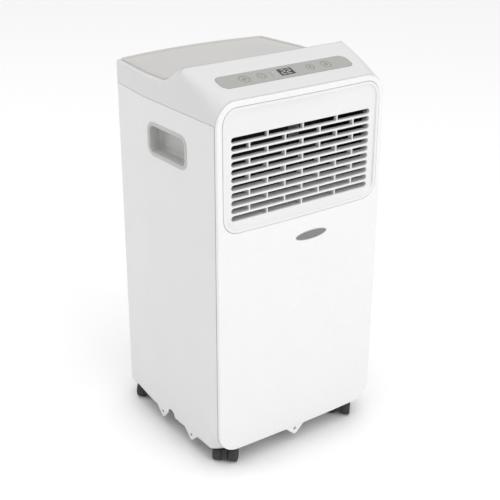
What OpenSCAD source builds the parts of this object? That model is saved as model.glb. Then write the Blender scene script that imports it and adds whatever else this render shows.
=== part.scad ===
// Portable air conditioner on four swivel casters.
// Millimetres. Origin: centre of the footprint, on the floor. Front faces -Y, +X is right seen from the front.

/* [Cabinet] */
// Width over the side casings
body_w = 345; // [290:1:420]
// Depth from the front bow to the rear bow
body_d = 355; // [315:1:430]
// Height of the hump above the floor
body_h = 703; // [640:1:850]
// Height of the casings' lower edge above the floor
skirt_z = 33; // [30:1:45]
// Moulded wall thickness
wall = 2.5; // [1.8:0.1:3.5]
// Gap between neighbouring outer covers
seam = 0.5; // [0.3:0.1:1.2]
// Radius of the front panel's corners
corner_r = 38; // [20:1:45]
// Width of each rear corner's step in from the side
rear_taper = 11.7; // [4:0.1:20]
// Distance from the rear face's middle to the vertical side crease
crease_back = 128.2; // [90:0.1:160]
// How far the rear face bows out
rear_bow = 17.1; // [6:0.1:24]
// Height of the side casings
casing_h = 600; // [540:1:740]

/* [Front panel] */
// How far the front panel bows out over its width
panel_bow = 4; // [2:0.1:8]
// Depth of the front panel's outer edge
panel_rim = 5; // [3.5:0.1:8]
// Width of the shadow groove behind the panel's edge
groove_w = 3.5; // [2:0.1:6]
// Distance from the hump's top down to the panel's top edge
panel_drop = 34.2; // [25:0.1:50]

/* [Grille] */
// Width of the grille frame
grille_w = 322.8; // [240:0.1:325]
// Height of the grille frame
grille_h = 209.3; // [185:0.1:240]
// Distance from the panel's top edge to the grille frame
grille_drop = 9.5; // [6:0.1:20]
// Corner radius of the grille frame
grille_r = 28; // [12:1:32]
// Width of the raised rim round the slots
rim_w = 6; // [4:0.1:10]
// Depth of the slotted face behind the front of the bow
grille_sink = 7.5; // [5:0.1:10]
// Number of slot rows
slot_rows = 11; // [7:1:11]
// Distance from one slot row to the next
slot_pitch = 13.18; // [12:0.01:15]
// Height of a slot
slot_h = 9.4; // [6:0.1:10]
// Distance from the frame's lower edge to the lowest slot's centre
slot_base = 24.1; // [15:0.1:30]
// Length of a full row of slots
slot_span = 287; // [180:1:290]
// Width of a bar between two slots in a row
slot_bar = 2.4; // [1.6:0.1:4]
// Depth of the lattice behind the slots
lattice_depth = 16; // [10:0.5:20]
// Depth of the slats at the top row
lattice_top_depth = 4; // [3:0.5:8]

/* [Top] */
// Height of the rear deck below the hump
deck_drop = 31.8; // [22:0.1:40]
// Distance from the front of the bow back to the hump
crest_back = 109.5; // [90:0.1:130]
// Length of the curve from the rear deck up to the hump
rise_run = 78; // [50:1:100]
// Margin between the side and the tray
tray_margin = 9; // [6:0.5:20]
// Width of the tray's rim
tray_rim_w = 4; // [3:0.1:8]
// Height of the tray's rim above the rear deck
tray_rim_h = 3.8; // [2:0.1:8]
// Thickness of the tray's floor
tray_t = 2; // [1.5:0.1:3]

/* [Controls] */
// Length of the control strip
strip_l = 268; // [250:1:285]
// Height of the control strip along the slope
strip_h = 35; // [30:0.5:40]
// Corner radius of the control strip
strip_r = 13; // [6:0.5:15]
// Distance down the slope from the hump to the strip's middle
strip_down = 56.5; // [45:0.5:62]
// Thickness of the strip
strip_t = 1.2; // [0.8:0.1:2]
// Radius of the two outer buttons
big_button_r = 10; // [7:0.1:12]
// Radius of the two inner buttons
small_button_r = 8; // [5:0.1:9]
// Distance from the middle to the outer buttons
big_button_x = 84; // [76:0.5:92]
// Distance from the middle to the inner buttons
small_button_x = 50; // [42:0.5:56]
// Gap round a button
button_gap = 0.3; // [0.2:0.05:0.6]
// Travel of a button
button_travel = 0.8; // [0.4:0.1:1]
// Length of the display window
display_l = 29; // [20:0.5:34]
// Height of the display window along the slope
display_h = 19; // [12:0.5:22]
// Distance from the middle to the indicator lenses
lamp_x = 23; // [20:0.5:28]
// Radius of an indicator lens
lamp_r = 1.5; // [1:0.1:2.5]

/* [Handles] */
// Length of a handle cup's bezel
handle_l = 121.7; // [100:0.1:140]
// Height of a handle cup's bezel
handle_h = 59.7; // [48:0.1:70]
// Corner radius of the bezel
handle_r = 18; // [8:0.5:22]
// Width of the bezel's band
bezel_w = 7; // [5:0.1:10]
// How far the bezel stands out of the side
bezel_proud = 1.2; // [0.6:0.1:2]
// Depth of the cup from the side
cup_depth = 21; // [15:0.5:22]
// Height of the cup's centre above the skirt
cup_rise = 532.5; // [480:0.5:560]
// Place of the cup's centre behind the front of the bow
cup_back = 152.5; // [120:0.5:170]

/* [Casters] */
// Diameter of a caster wheel
wheel_d = 30; // [26:0.5:31]
// Width of one wheel of a pair
wheel_w = 16; // [12:0.5:20]
// Width of the fork between the wheels
fork_w = 11; // [8:0.5:14]
// Radius of the axle
axle_r = 2.5; // [2:0.1:3]
// Radius of the swivel stem
stem_r = 4; // [3:0.1:5]
// Running clearance round the axle and the stem
run_gap = 0.05; // [0.03:0.01:0.1]
// Distance from the stem back to the axle
trail = 15; // [8:0.5:16]
// Turn of the casters about their stems from straight ahead
caster_turn = 135; // [0:5:355]
// Distance from the side of the cabinet in to the stem
stem_inset_x = 40; // [39:0.5:60]
// Distance from the front or rear in to the stem
stem_inset_y = 41; // [40:0.5:60]

/* [Air path] */
// Radius of the exhaust collar
collar_r = 73; // [55:0.5:75]
// Distance of the exhaust collar from the middle
collar_x = 52; // [46:0.5:56]
// Height of the exhaust collar's centre above the skirt
collar_rise = 339; // [335:0.5:345]
// Radius of the evaporator blower's wheel
blower_r = 66; // [50:0.5:68]
// Radius of the condenser fan's wheel
fan_r = 68; // [50:0.5:72]
// Radius of a fan shaft
shaft_r = 4; // [3:0.1:5]
// Width of the filters
filter_w = 230; // [180:1:236]
// Clearance round a filter
filter_gap = 0.4; // [0.3:0.1:1]

/* [Cooling system] */
// Radius of the compressor's shell
compressor_r = 54; // [40:0.5:56]
// Height of the compressor's shell
compressor_h = 184; // [140:1:190]
// Width of the two coils
coil_w = 250; // [180:1:256]
// Thickness of the two coils
coil_t = 28; // [20:0.5:30]
// Radius of the copper pipes
pipe_r = 4; // [3:0.1:4.5]

/* [Hidden] */
$fn = 48;
LEFT = -1;
RIGHT = 1;
round_steps = 10;
big_fn = 720;

// Places along Y
half_w = body_w / 2;
front_y = -body_d / 2;
rear_y = body_d / 2;
panel_edge_y = front_y + panel_bow;
panel_back_y = panel_edge_y + panel_rim;
casing_front_y = panel_back_y + groove_w;
nest_y = casing_front_y + 12;
crease_y = rear_y - crease_back;
rear_half_w = half_w - rear_taper;
rear_corner_y = rear_y - rear_bow;
rear_split_x = rear_half_w - 21;
bow_r = (half_w * half_w + panel_bow * panel_bow) / (2 * panel_bow);
rear_r = (rear_half_w * rear_half_w + rear_bow * rear_bow) / (2 * rear_bow);

// Places along Z
seam_z = skirt_z + casing_h;
deck_z = body_h - deck_drop;
panel_top_z = body_h - panel_drop;
grille_top_z = panel_top_z - grille_drop;
grille_bottom_z = grille_top_z - grille_h;
grille_mid_z = grille_top_z - grille_h / 2;
slot_z0 = grille_bottom_z + slot_base;
cup_z = skirt_z + cup_rise;
collar_z = skirt_z + collar_rise;
pan_z = skirt_z + 6;
pan_t = 3;
pan_top_z = pan_z + pan_t;
middle_z = skirt_z + 417;
deck_t = 3;
upper_z = middle_z + 9;
rear_seam_z = collar_z - collar_r - 6;

// The hump and its slope
crest_y = front_y + crest_back;
rise_y = crest_y + rise_run;
slope_foot_y = panel_edge_y;
slope_angle = atan2(body_h - panel_top_z, crest_y - slope_foot_y);
cover_front_y = panel_back_y + seam;
cover_t = wall + 1.9;
pocket_d = tray_t + 0.2;
strip_sink = 0.4;
board_down = 17;

// Clearances and small shared sizes
nest_gap = 0.4;
grille_face_y = front_y + grille_sink;
grille_t = 2.5;
lattice_y = grille_face_y + grille_t;
lattice_back_y = lattice_y + lattice_depth;
handle_y = front_y + cup_back;
cup_overlap = 3;
stem_x = half_w - stem_inset_x;
stem_front_y = front_y + stem_inset_y;
stem_rear_y = rear_corner_y - stem_inset_y + 10;
axle_z = wheel_d / 2;
swivel_top_z = pan_z - 3;
boss_h = 22;

// Inside machinery
compressor_x = -half_w + 88;
compressor_y = front_y + 107;
compressor_z = pan_top_z + 14;
accumulator_x = compressor_x + compressor_r + 24;
accumulator_y = compressor_y - 25;
accumulator_r = 18;
accumulator_z = compressor_z + 30;
accumulator_h = 120;
coil_y = rear_corner_y - 62;
coil_end = 5;
condenser_z = swivel_top_z + boss_h + 3;
condenser_h = rear_seam_z - condenser_z - 8;
evaporator_h = 168;
scroll_depth = 62;
scroll_back_y = coil_y - 6;
scroll_front_y = scroll_back_y - scroll_depth;
scroll_t = 2;
fan_x = collar_x;
fan_z = pan_top_z + fan_r + 12;
blower_x = 0;
blower_z = middle_z + deck_t + blower_r + 14;
duct_w = 288;
duct_back_y = front_y + 115;
motor_r = 34;
pipe_level_z = compressor_z + compressor_h + 20;
suction_x = -coil_w / 2 - 21;
suction_y = coil_y + coil_t / 2;
capillary_x = -coil_w / 2 + 8;
capillary_y = coil_y - 8;
box_z = pipe_level_z + 20;
post_x = half_w - 14;
post_y = front_y + 120;
float_x = half_w - 52;
float_y = front_y + 82;
splash_x = -64;
splash_y = scroll_back_y - 20;
filter_y = rear_corner_y - 12;
filter_t = 7;
upper_filter_h = 158;
upper_filter_z = upper_z + 84;
lower_filter_h = condenser_h - 14;
lower_filter_z = condenser_z + condenser_h / 2;
upper_plug_x = -112;
upper_plug_z = middle_z - 8;
lower_plug_x = 0;
lower_plug_z = pan_top_z + 9;
plug_r = 8;

// ---- helpers ----

function arc(cx, cy, r, a0, a1, n) =
    [for (i = [0:n]) [cx + r * cos(a0 + (a1 - a0) * i / n), cy + r * sin(a0 + (a1 - a0) * i / n)]];

function rounded(w, h, r) = concat(
    arc(w / 2 - r, h / 2 - r, r, 0, 90, round_steps), arc(-w / 2 + r, h / 2 - r, r, 90, 180, round_steps),
    arc(-w / 2 + r, -h / 2 + r, r, 180, 270, round_steps), arc(w / 2 - r, -h / 2 + r, r, 270, 360, round_steps));

// Rear face's Y at a given X
function rear_at(x) = rear_y - rear_r + sqrt(rear_r * rear_r - x * x);

// Cabinet outline seen from above, drawn in by an inset
function plan(inset) = concat(
    [[half_w - inset, casing_front_y], [half_w - inset, crease_y]],
    [for (i = [0:16]) let (x = (rear_half_w - inset) * (1 - i / 8)) [x, rear_at(x) - inset]],
    [[-half_w + inset, crease_y], [-half_w + inset, casing_front_y]]);

// Height of the top surface between the rear deck and the hump, from 0 at the deck to 1 at the hump
function ease(t) = let (u = pow(t, 1.6)) u * u * (3 - 2 * u);
function rise(y) = ease(max(0, min(1, (rise_y - y) / (rise_y - crest_y))));

// Side view of the top: the rear deck, the curve up, the hump and the slope
function top_line(drop, rim) = [for (i = [0:14]) let (y = rise_y - rise_run * i / 14)
    [y, deck_z - drop + (deck_drop * rise(y)) + rim * (1 - rise(y))]];

module along_y(y0, y1) {
    translate([0, y1, 0]) rotate([90, 0, 0]) linear_extrude(y1 - y0) children();
}

module along_x(x0, x1) {
    translate([x0, 0, 0]) rotate([90, 0, 90]) linear_extrude(x1 - x0) children();
}

module block(x0, x1, y0, y1, z0, z1) {
    translate([x0, y0, z0]) cube([x1 - x0, y1 - y0, z1 - z0]);
}

module rod_y(x, z, r, y0, y1) {
    translate([x, y1, z]) rotate([90, 0, 0]) cylinder(r = r, h = y1 - y0);
}

module rod_x(y, z, r, x0, x1) {
    translate([x0, y, z]) rotate([0, 90, 0]) cylinder(r = r, h = x1 - x0);
}

module rod_z(x, y, r, z0, z1) {
    translate([x, y, z0]) cylinder(r = r, h = z1 - z0);
}

// Places its children on the slope: X across, -Y down the slope, Z out of it
module on_slope() {
    translate([0, crest_y, body_h]) rotate([slope_angle, 0, 0]) translate([0, -strip_down, 0]) children();
}

// The bowed front solid, drawn in from the front by an inset
module bow(inset) {
    translate([0, front_y + bow_r, -1]) cylinder(r = bow_r - inset, h = body_h + 2, $fn = big_fn);
}

module panel_outline(inset) {
    h = panel_top_z - skirt_z;
    translate([0, skirt_z + h / 2]) polygon(rounded(body_w - 2 * inset, h - 2 * inset, corner_r - inset));
}

module grille_outline(inset) {
    translate([0, grille_mid_z]) polygon(rounded(grille_w - 2 * inset, grille_h - 2 * inset, grille_r - inset));
}

// ---- front ----

tab_tip_r = 7;
tab_w = 42;
tab_hole_r = 3;
tab_drop = 17;

// A screw tab that hangs below the skirt: a wide root and a round tip
module tab(mid) {
    difference() {
        translate([mid, skirt_z]) polygon(concat([[tab_w / 2, 3], [tab_w / 2, 0]],
            arc(0, -tab_drop + tab_tip_r, tab_tip_r, -30, -150, 8), [[-tab_w / 2, 0], [-tab_w / 2, 3]]));
        translate([mid, skirt_z - 6]) circle(r = tab_hole_r);
    }
}

front_tab_x = -6;
badge_x = 17;
badge_z = grille_bottom_z - 38;
badge_l = 68;
badge_h = 17;
badge_t = 1.2;

module front_panel() color("white") {
    difference() {
        intersection() {
            bow(0);
            along_y(front_y - 1, panel_back_y) panel_outline(0);
        }
        intersection() {
            bow(wall);
            along_y(front_y - 1, nest_y) panel_outline(wall);
        }
        along_y(front_y - 1, nest_y) grille_outline(-seam);
        intersection() {
            along_y(front_y - 1, nest_y) badge_outline(-0.15);
            difference() {
                bow(-1);
                bow(badge_t);
            }
        }
    }
    // inner wall that nests in the casings and makes the floor of the groove
    difference() {
        along_y(panel_back_y - 2, nest_y) panel_outline(wall + nest_gap);
        along_y(panel_back_y - 3, nest_y + 1) panel_outline(2 * wall + nest_gap);
        along_y(panel_back_y - 3, nest_y + 1) grille_outline(-seam);
    }
    along_y(front_y + wall + 1, panel_back_y) tab(front_tab_x);
}

// Slots in a brick pattern: even rows start with a half slot
module slots() {
    step = slot_span / 4;
    for (row = [0:slot_rows - 1]) {
        z = slot_z0 + row * slot_pitch;
        shifted = row % 2;
        edges = shifted == 1
            ? [-2, -1.5, -0.5, 0.5, 1.5, 2]
            : [-2, -1, 0, 1, 2];
        for (i = [0:len(edges) - 2]) {
            x0 = edges[i] * step + (i == 0 ? 0 : slot_bar / 2);
            x1 = edges[i + 1] * step - (i == len(edges) - 2 ? 0 : slot_bar / 2);
            translate([(x0 + x1) / 2, z]) polygon(slot_shape(x1 - x0, i == 0, i == len(edges) - 2));
        }
    }
}

// A slot, round at the ends of the row and nearly square at the bars
function slot_shape(l, round_left, round_right) = let (r = slot_h / 2 - 0.01, q = 1) concat(
    slot_end(l / 2, round_right ? r : q, 1), slot_end(-l / 2, round_left ? r : q, -1));
function slot_end(x, r, side) = side > 0
    ? concat(arc(x - r, -slot_h / 2 + r, r, -90, 0, 4), arc(x - r, slot_h / 2 - r, r, 0, 90, 4))
    : concat(arc(x + r, slot_h / 2 - r, r, 90, 180, 4), arc(x + r, -slot_h / 2 + r, r, 180, 270, 4));

module front_grille() color("white") {
    difference() {
        intersection() {
            bow(0.4);
            along_y(front_y - 1, lattice_y) grille_outline(0);
        }
        along_y(front_y - 1, grille_face_y) grille_outline(rim_w);
        along_y(front_y - 1, lattice_y + 1) slots();
    }
}

module grille_lattice() color([0.35, 0.35, 0.35]) {
    difference() {
        along_y(lattice_y, lattice_back_y) grille_outline(rim_w);
        along_y(lattice_y - 1, lattice_back_y + 1) slots();
        // the slats' backs lean forward towards the top row
        along_x(-slot_span / 2 + 0.5, slot_span / 2 - 0.5) polygon([
            [lattice_back_y + 1, slot_z0 - slot_h / 2], [lattice_back_y, slot_z0 - slot_h / 2],
            [lattice_y + lattice_top_depth, slot_z0 + (slot_rows - 1) * slot_pitch + slot_h / 2],
            [lattice_back_y + 1, slot_z0 + (slot_rows - 1) * slot_pitch + slot_h / 2]]);
    }
}

module badge_outline(inset) {
    translate([badge_x, badge_z]) polygon([for (a = [0:7.5:352.5]) [(badge_l / 2 - inset) * cos(a), (badge_h / 2 - inset) * sin(a)]]);
}

module badge() color([0.55, 0.55, 0.55]) {
    difference() {
        intersection() {
            bow(0);
            along_y(front_y - 1, nest_y) badge_outline(0);
        }
        bow(badge_t);
    }
}

// ---- top ----

module cover_solid(inset, drop) {
    reach = 6;
    intersection() {
        linear_extrude(body_h + 1) polygon(concat([[half_w - inset, cover_front_y - inset]],
            plan(inset), [[-half_w + inset, cover_front_y - inset]]));
        along_x(-half_w - 1, half_w + 1) polygon(concat(
            [[rear_y + 1, seam_z + seam - inset], [rear_y + 1, deck_z - drop]], top_line(drop, 0),
            [[cover_front_y - reach, body_h - drop - (crest_y - cover_front_y + reach) * tan(slope_angle)],
            [cover_front_y - reach, seam_z + seam - inset]]));
    }
}

tray_front_y = crest_y + 1;

// The tray's block, from its floor's underside up to the rim
module tray_solid(inset, drop, rim) {
    intersection() {
        translate([0, 0, seam_z]) linear_extrude(body_h - seam_z + 1) polygon(plan(tray_margin + inset));
        along_x(-half_w, half_w) polygon(concat([[rear_y + 1, deck_z - 12], [rear_y + 1, deck_z + rim]],
            [for (p = top_line(0, rim)) if (p[0] > tray_front_y + inset) p],
            [[tray_front_y + inset, deck_z + deck_drop - drop]], [[tray_front_y + inset, deck_z - 12]]));
    }
}

module below_line(drop) {
    along_x(-half_w - 1, half_w + 1) polygon(concat([[rear_y + 2, seam_z - 1], [rear_y + 2, deck_z - drop]],
        top_line(drop, 0), [[crest_y - 2, body_h - drop], [crest_y - 2, seam_z - 1]]));
}

module button_holes(grow, depth) {
    for (side = [LEFT, RIGHT]) {
        translate([side * big_button_x, 0, -depth]) cylinder(r = big_button_r + grow, h = depth + 3);
        translate([side * small_button_x, 0, -depth]) cylinder(r = small_button_r + grow, h = depth + 3);
    }
}

module lamp_holes(grow, depth) {
    for (side = [-1, 1]) {
        translate([-lamp_x, side * 5, -depth]) cylinder(r = lamp_r + grow, h = depth + 3);
    }
}

// Cuts the square corner beside the front panel's round corner
module corner_cut(side) {
    depth = 30;
    translate([side * (half_w - corner_r), panel_edge_y, panel_top_z - corner_r]) rotate([slope_angle, 0, 0])
        difference() {
            translate([side > 0 ? 0 : -corner_r - 1, -6, 0]) cube([corner_r + 1, depth, corner_r + 14]);
            translate([0, depth, 0]) rotate([90, 0, 0]) cylinder(r = corner_r, h = depth + 10);
        }
}

module top_cover() color([0.85, 0.85, 0.85]) {
    difference() {
        cover_solid(0, 0);
        cover_solid(wall, cover_t);
        difference() {
            tray_solid(-filter_gap, 0, 12);
            below_line(pocket_d);
        }
        on_slope() {
            translate([0, 0, -strip_t - strip_sink]) linear_extrude(10)
                polygon(rounded(strip_l + 2 * seam, strip_h + 2 * seam, strip_r + seam));
            button_holes(button_gap, 12);
            lamp_holes(0.1, 12);
            translate([-display_l / 2 + 1.5, -display_h / 2 + 1.5, -12]) cube([display_l - 3, display_h - 3, 12]);
        }
        corner_cut(LEFT);
        corner_cut(RIGHT);
    }
}

module top_tray() color([0.83, 0.83, 0.82]) {
    difference() {
        tray_solid(0, 0.3, tray_rim_h);
        below_line(pocket_d);
        difference() {
            tray_solid(tray_rim_w, 0, 12);
            below_line(0.2);
        }
    }
}

module control_strip() color([0.7, 0.7, 0.7]) {
    on_slope() difference() {
        translate([0, 0, -strip_t - strip_sink]) linear_extrude(strip_t) polygon(rounded(strip_l, strip_h, strip_r));
        button_holes(button_gap, 6);
        lamp_holes(0.1, 6);
        translate([-display_l / 2 - 0.2, -display_h / 2 - 0.2, -5]) cube([display_l + 0.4, display_h + 0.4, 8]);
    }
}

// A button: cap in the strip, skirt through the cover, flange below it and a stem over its switch
module button(x, r) color([0.68, 0.68, 0.68]) {
    flange_z = -cover_t * cos(slope_angle) - 1.4;
    on_slope() translate([x, 0, 0]) {
        translate([0, 0, flange_z]) cylinder(r = r, h = -strip_sink - flange_z);
        translate([0, 0, flange_z]) cylinder(r = r + 1.2, h = 1);
        translate([0, 0, -board_down + switch_h + button_travel + 0.2])
            cylinder(r = 2.5, h = board_down + flange_z - switch_h - button_travel);
    }
}
switch_h = 5;

module display_window() color([0.2, 0.2, 0.2]) {
    on_slope() translate([-display_l / 2, -display_h / 2, -strip_t - strip_sink])
        cube([display_l, display_h, strip_t]);
}

module indicator_lenses() color([0.8, 0.85, 0.8]) {
    on_slope() for (side = [-1, 1]) {
        translate([-lamp_x, side * 5, -9]) cylinder(r = lamp_r, h = 9 - strip_sink);
    }
}

module keypad_board() color([0.1, 0.4, 0.2]) {
    on_slope() {
        translate([-118, -16, -board_down - 1.6]) cube([236, 32, 1.6]);
        for (x = [-big_button_x, -small_button_x, small_button_x, big_button_x]) {
            translate([x - 3, -3, -board_down]) cube([6, 6, switch_h - 1.5]);
            translate([x, 0, -board_down]) cylinder(r = 1.6, h = switch_h);
        }
        translate([-12, -7, -board_down]) cube([24, 14, 9]);
    }
    // posts from the board up to the cover
    on_slope() for (x = [-112, -34, 34, 112]) {
        translate([x, 0, -board_down]) cylinder(r = 3, h = board_down - cover_t * cos(slope_angle));
    }
}

// ---- sides ----

side_tab_y = [handle_y + 43, handle_y - 54];
notch_y = handle_y + 13;
notch_r = 12;

module casing(side) {
    difference() {
        union() {
            difference() {
                translate([0, 0, skirt_z]) linear_extrude(casing_h) polygon(plan(0));
                translate([0, 0, skirt_z - 1]) linear_extrude(casing_h + 2)
                    polygon(concat([[half_w - wall, casing_front_y - 1]], plan(wall),
                        [[-half_w + wall, casing_front_y - 1]]));
            }
            for (y = side_tab_y) {
                along_x(half_w * side - (side > 0 ? wall : 0), half_w * side + (side > 0 ? 0 : wall)) tab(y);
            }
        }
        // keep one side only
        translate([side > 0 ? -half_w - 1 : -rear_split_x, front_y, 0]) cube([half_w + 1 + rear_split_x, body_d + 2, body_h]);
        // handle opening
        along_x(side > 0 ? 0 : -half_w - 5, side > 0 ? half_w + 5 : 0) translate([handle_y, cup_z])
            polygon(rounded(handle_l - 2 * cup_overlap, handle_h - 2 * cup_overlap, handle_r - cup_overlap));
        // arch notch beside the rear tab
        along_x(side > 0 ? 0 : -half_w - 5, side > 0 ? half_w + 5 : 0) translate([notch_y, skirt_z]) circle(r = notch_r);
        // round lower corner that follows the front panel
        translate([side * (half_w - corner_r), casing_front_y - 1, skirt_z + corner_r]) difference() {
            translate([side > 0 ? 0 : -corner_r - 1, 0, -corner_r - 1]) cube([corner_r + 1, 22, corner_r + 1]);
            translate([0, 23, 0]) rotate([90, 0, 0]) cylinder(r = corner_r, h = 24);
        }
    }
}

module side_casing_left() color([0.85, 0.85, 0.85]) casing(LEFT);
module side_casing_right() color([0.85, 0.85, 0.85]) casing(RIGHT);

module handle_cup(side) color([0.68, 0.68, 0.67]) {
    gap = 0.3;
    deep = cup_depth + wall;
    mirror([side > 0 ? 1 : 0, 0, 0]) difference() {
        union() {
            along_x(-half_w - bezel_proud, -half_w) translate([handle_y, cup_z])
                polygon(rounded(handle_l, handle_h, handle_r));
            along_x(-half_w - bezel_proud / 2, -half_w + deep) translate([handle_y, cup_z])
                polygon(rounded(handle_l - 2 * (cup_overlap + gap), handle_h - 2 * (cup_overlap + gap),
                    handle_r - cup_overlap - gap));
        }
        along_x(-half_w - bezel_proud - 1, -half_w + cup_depth) translate([handle_y, cup_z])
            polygon(rounded(handle_l - 2 * bezel_w, handle_h - 2 * bezel_w, handle_r - bezel_w));
    }
}

// ---- rear ----

module rear_shell(z0, z1) {
    intersection() {
        difference() {
            translate([0, 0, z0]) linear_extrude(z1 - z0) polygon(plan(0));
            translate([0, 0, z0 - 1]) linear_extrude(z1 - z0 + 2) polygon(plan(wall));
        }
        block(-rear_split_x + seam, rear_split_x - seam, rear_corner_y - 30, rear_y + 1, z0 - 1, z1 + 1);
    }
}

// A square tunnel that a filter slides into, with a stop ledge at its front end
module filter_tunnel(z, h) {
    w = filter_w + 2 * filter_gap;
    t = h + 2 * filter_gap;
    difference() {
        intersection() {
            block(-w / 2 - wall, w / 2 + wall, filter_y - 3, rear_y, z - t / 2 - wall, z + t / 2 + wall);
            linear_extrude(body_h) polygon(plan(0.1));
        }
        block(-w / 2, w / 2, filter_y, rear_y + 1, z - t / 2, z + t / 2);
        block(-w / 2 + 6, w / 2 - 6, filter_y - 4, rear_y, z - t / 2 + 6, z + t / 2 - 6);
    }
}

module filter_mouth(z, h) {
    block(-filter_w / 2 - filter_gap, filter_w / 2 + filter_gap, filter_y, rear_y + 1,
        z - h / 2 - filter_gap, z + h / 2 + filter_gap);
}

module rear_upper_housing() color([0.88, 0.88, 0.88]) {
    difference() {
        rear_shell(rear_seam_z + seam / 2, seam_z);
        filter_mouth(upper_filter_z, upper_filter_h);
        rod_y(collar_x, collar_z, collar_r + 0.2, filter_y - 40, rear_y + 2);
        rod_y(upper_plug_x, upper_plug_z, plug_r + 2.2, filter_y - 20, rear_y + 2);
    }
    filter_tunnel(upper_filter_z, upper_filter_h);
}

gland_x = rear_split_x - 11.5;
gland_r = 6.8;
gland_bore_r = 4;
gland_z = skirt_z + 45;

module rear_lower_housing() color([0.88, 0.88, 0.88]) {
    difference() {
        rear_shell(skirt_z, rear_seam_z - seam / 2);
        filter_mouth(lower_filter_z, lower_filter_h);
        rod_y(lower_plug_x, lower_plug_z, plug_r + 2.2, filter_y - 20, rear_y + 2);
        rod_y(gland_x, gland_z, gland_r + 0.2, filter_y - 20, rear_y + 2);
    }
    filter_tunnel(lower_filter_z, lower_filter_h);
}

module filter(z, h) {
    bars = 7;
    frame = 9;
    tab_l = 30;
    difference() {
        block(-filter_w / 2, filter_w / 2, filter_y, filter_y + filter_t, z - h / 2, z + h / 2);
        block(-filter_w / 2 + frame, filter_w / 2 - frame, filter_y - 1, filter_y + filter_t + 1,
            z - h / 2 + frame, z + h / 2 - frame);
    }
    for (i = [1:bars]) {
        x = -filter_w / 2 + i * filter_w / (bars + 1);
        block(x - 1.5, x + 1.5, filter_y + 2, filter_y + filter_t, z - h / 2 + 4, z + h / 2 - 4);
    }
    rows = floor(h / 14);
    for (i = [1:rows - 1]) {
        y = z - h / 2 + i * h / rows;
        block(-filter_w / 2 + 4, filter_w / 2 - 4, filter_y + 3, filter_y + filter_t - 1, y - 1.2, y + 1.2);
    }
    block(-tab_l / 2, tab_l / 2, filter_y + filter_t - 1, filter_y + filter_t + 6, z + h / 2 - 8, z + h / 2 - 4);
}

module upper_filter() color([0.8, 0.8, 0.8]) filter(upper_filter_z, upper_filter_h);
module lower_filter() color([0.8, 0.8, 0.8]) filter(lower_filter_z, lower_filter_h);

collar_t = 3;
collar_front_y = scroll_back_y;
collar_back_y = rear_at(collar_x) - 1;

module exhaust_collar() color([0.75, 0.75, 0.75]) {
    difference() {
        union() {
            rod_y(collar_x, collar_z, collar_r, collar_front_y, collar_back_y);
            rod_y(collar_x, collar_z, collar_r + 5, collar_front_y, collar_front_y + 4);
        }
        rod_y(collar_x, collar_z, collar_r - collar_t, collar_front_y - 1, collar_back_y + 1);
    }
}

module drain_plug(x, z) color([0.3, 0.3, 0.3]) {
    back = rear_at(x);
    rod_y(x, z, plug_r - 2, back - 22, back - 5);
    rod_y(x, z, plug_r, back - 5.4, back - 2);
    block(x - 1.5, x + 1.5, back - 3, back - 0.5, z - plug_r + 2, z + plug_r - 2);
}

module upper_drain_plug() drain_plug(upper_plug_x, upper_plug_z);
module lower_drain_plug() drain_plug(lower_plug_x, lower_plug_z);

module cord_gland() color([0.2, 0.2, 0.2]) {
    back = rear_at(gland_x);
    difference() {
        union() {
            rod_y(gland_x, gland_z, gland_r, back - wall - 7.5, back + 3.6);
            rod_y(gland_x, gland_z, gland_r + 2.2, back - wall - 5, back - wall - 1.9);
            rod_y(gland_x, gland_z, gland_r + 2.2, back + 1.6, back + 3.6);
        }
        rod_y(gland_x, gland_z, gland_bore_r, back - wall - 8.5, back + 4);
    }
}

// ---- chassis ----

plug_sleeve_t = 2;

module drain_sleeve(x, z, y0) {
    rod_y(x, z, plug_r - 2 + plug_sleeve_t + 0.15, y0, rear_at(x) - 6);
}

module drain_hole(x, z, y0) {
    rod_y(x, z, plug_r - 2 + 0.15, y0, rear_y);
}

module base_pan() color([0.45, 0.45, 0.46]) {
    inset = wall + 3.2;
    lip = 20;
    difference() {
        union() {
            difference() {
                translate([0, 0, pan_z]) linear_extrude(pan_t + lip) polygon(concat(
                    [[half_w - inset, nest_y + 1]], [for (p = plan(inset)) if (p[1] > casing_front_y + 2) p],
                    [[-half_w + inset, nest_y + 1]]));
                translate([0, 0, pan_top_z]) linear_extrude(lip + 1) polygon(concat(
                    [[half_w - inset - 2, nest_y + 3]], [for (p = plan(inset + 2)) if (p[1] > casing_front_y + 2) p],
                    [[-half_w + inset + 2, nest_y + 3]]));
            }
            for (x = [-stem_x, stem_x], y = [stem_front_y, stem_rear_y]) {
                rod_z(x, y, 12, swivel_top_z + 0.3, swivel_top_z + boss_h);
            }
            drain_sleeve(lower_plug_x, lower_plug_z, rear_y - 32);
        }
        for (x = [-stem_x, stem_x], y = [stem_front_y, stem_rear_y]) {
            rod_z(x, y, stem_r + run_gap, swivel_top_z - 1, swivel_top_z + boss_h + 1);
        }
        drain_hole(lower_plug_x, lower_plug_z, rear_y - 33);
    }
}

module caster_at(x, y) {
    translate([x, y, 0]) rotate([0, 0, caster_turn]) translate([-x, -y, 0]) children();
}

module caster_fork(x, y) color([0.12, 0.12, 0.12]) {
    plate_t = 2.6;
    difference() {
        union() {
            rod_z(x, y, stem_r, swivel_top_z - plate_t, swivel_top_z + boss_h + 2);
            rod_z(x, y, stem_r + 1.2, swivel_top_z + boss_h + 0.3, swivel_top_z + boss_h + 2);
            rod_z(x, y, 11, swivel_top_z - plate_t, swivel_top_z);
            // hood between the wheels
            intersection() {
                rod_x(y + trail, axle_z, wheel_d / 2 + 1.2, x - fork_w / 2, x + fork_w / 2);
                block(x - fork_w, x + fork_w, y - 20, y + trail + 20, axle_z - 4, swivel_top_z - plate_t + 0.2);
            }
        }
        rod_x(y + trail, axle_z, axle_r + run_gap, x - fork_w, x + fork_w);
    }
}

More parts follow.
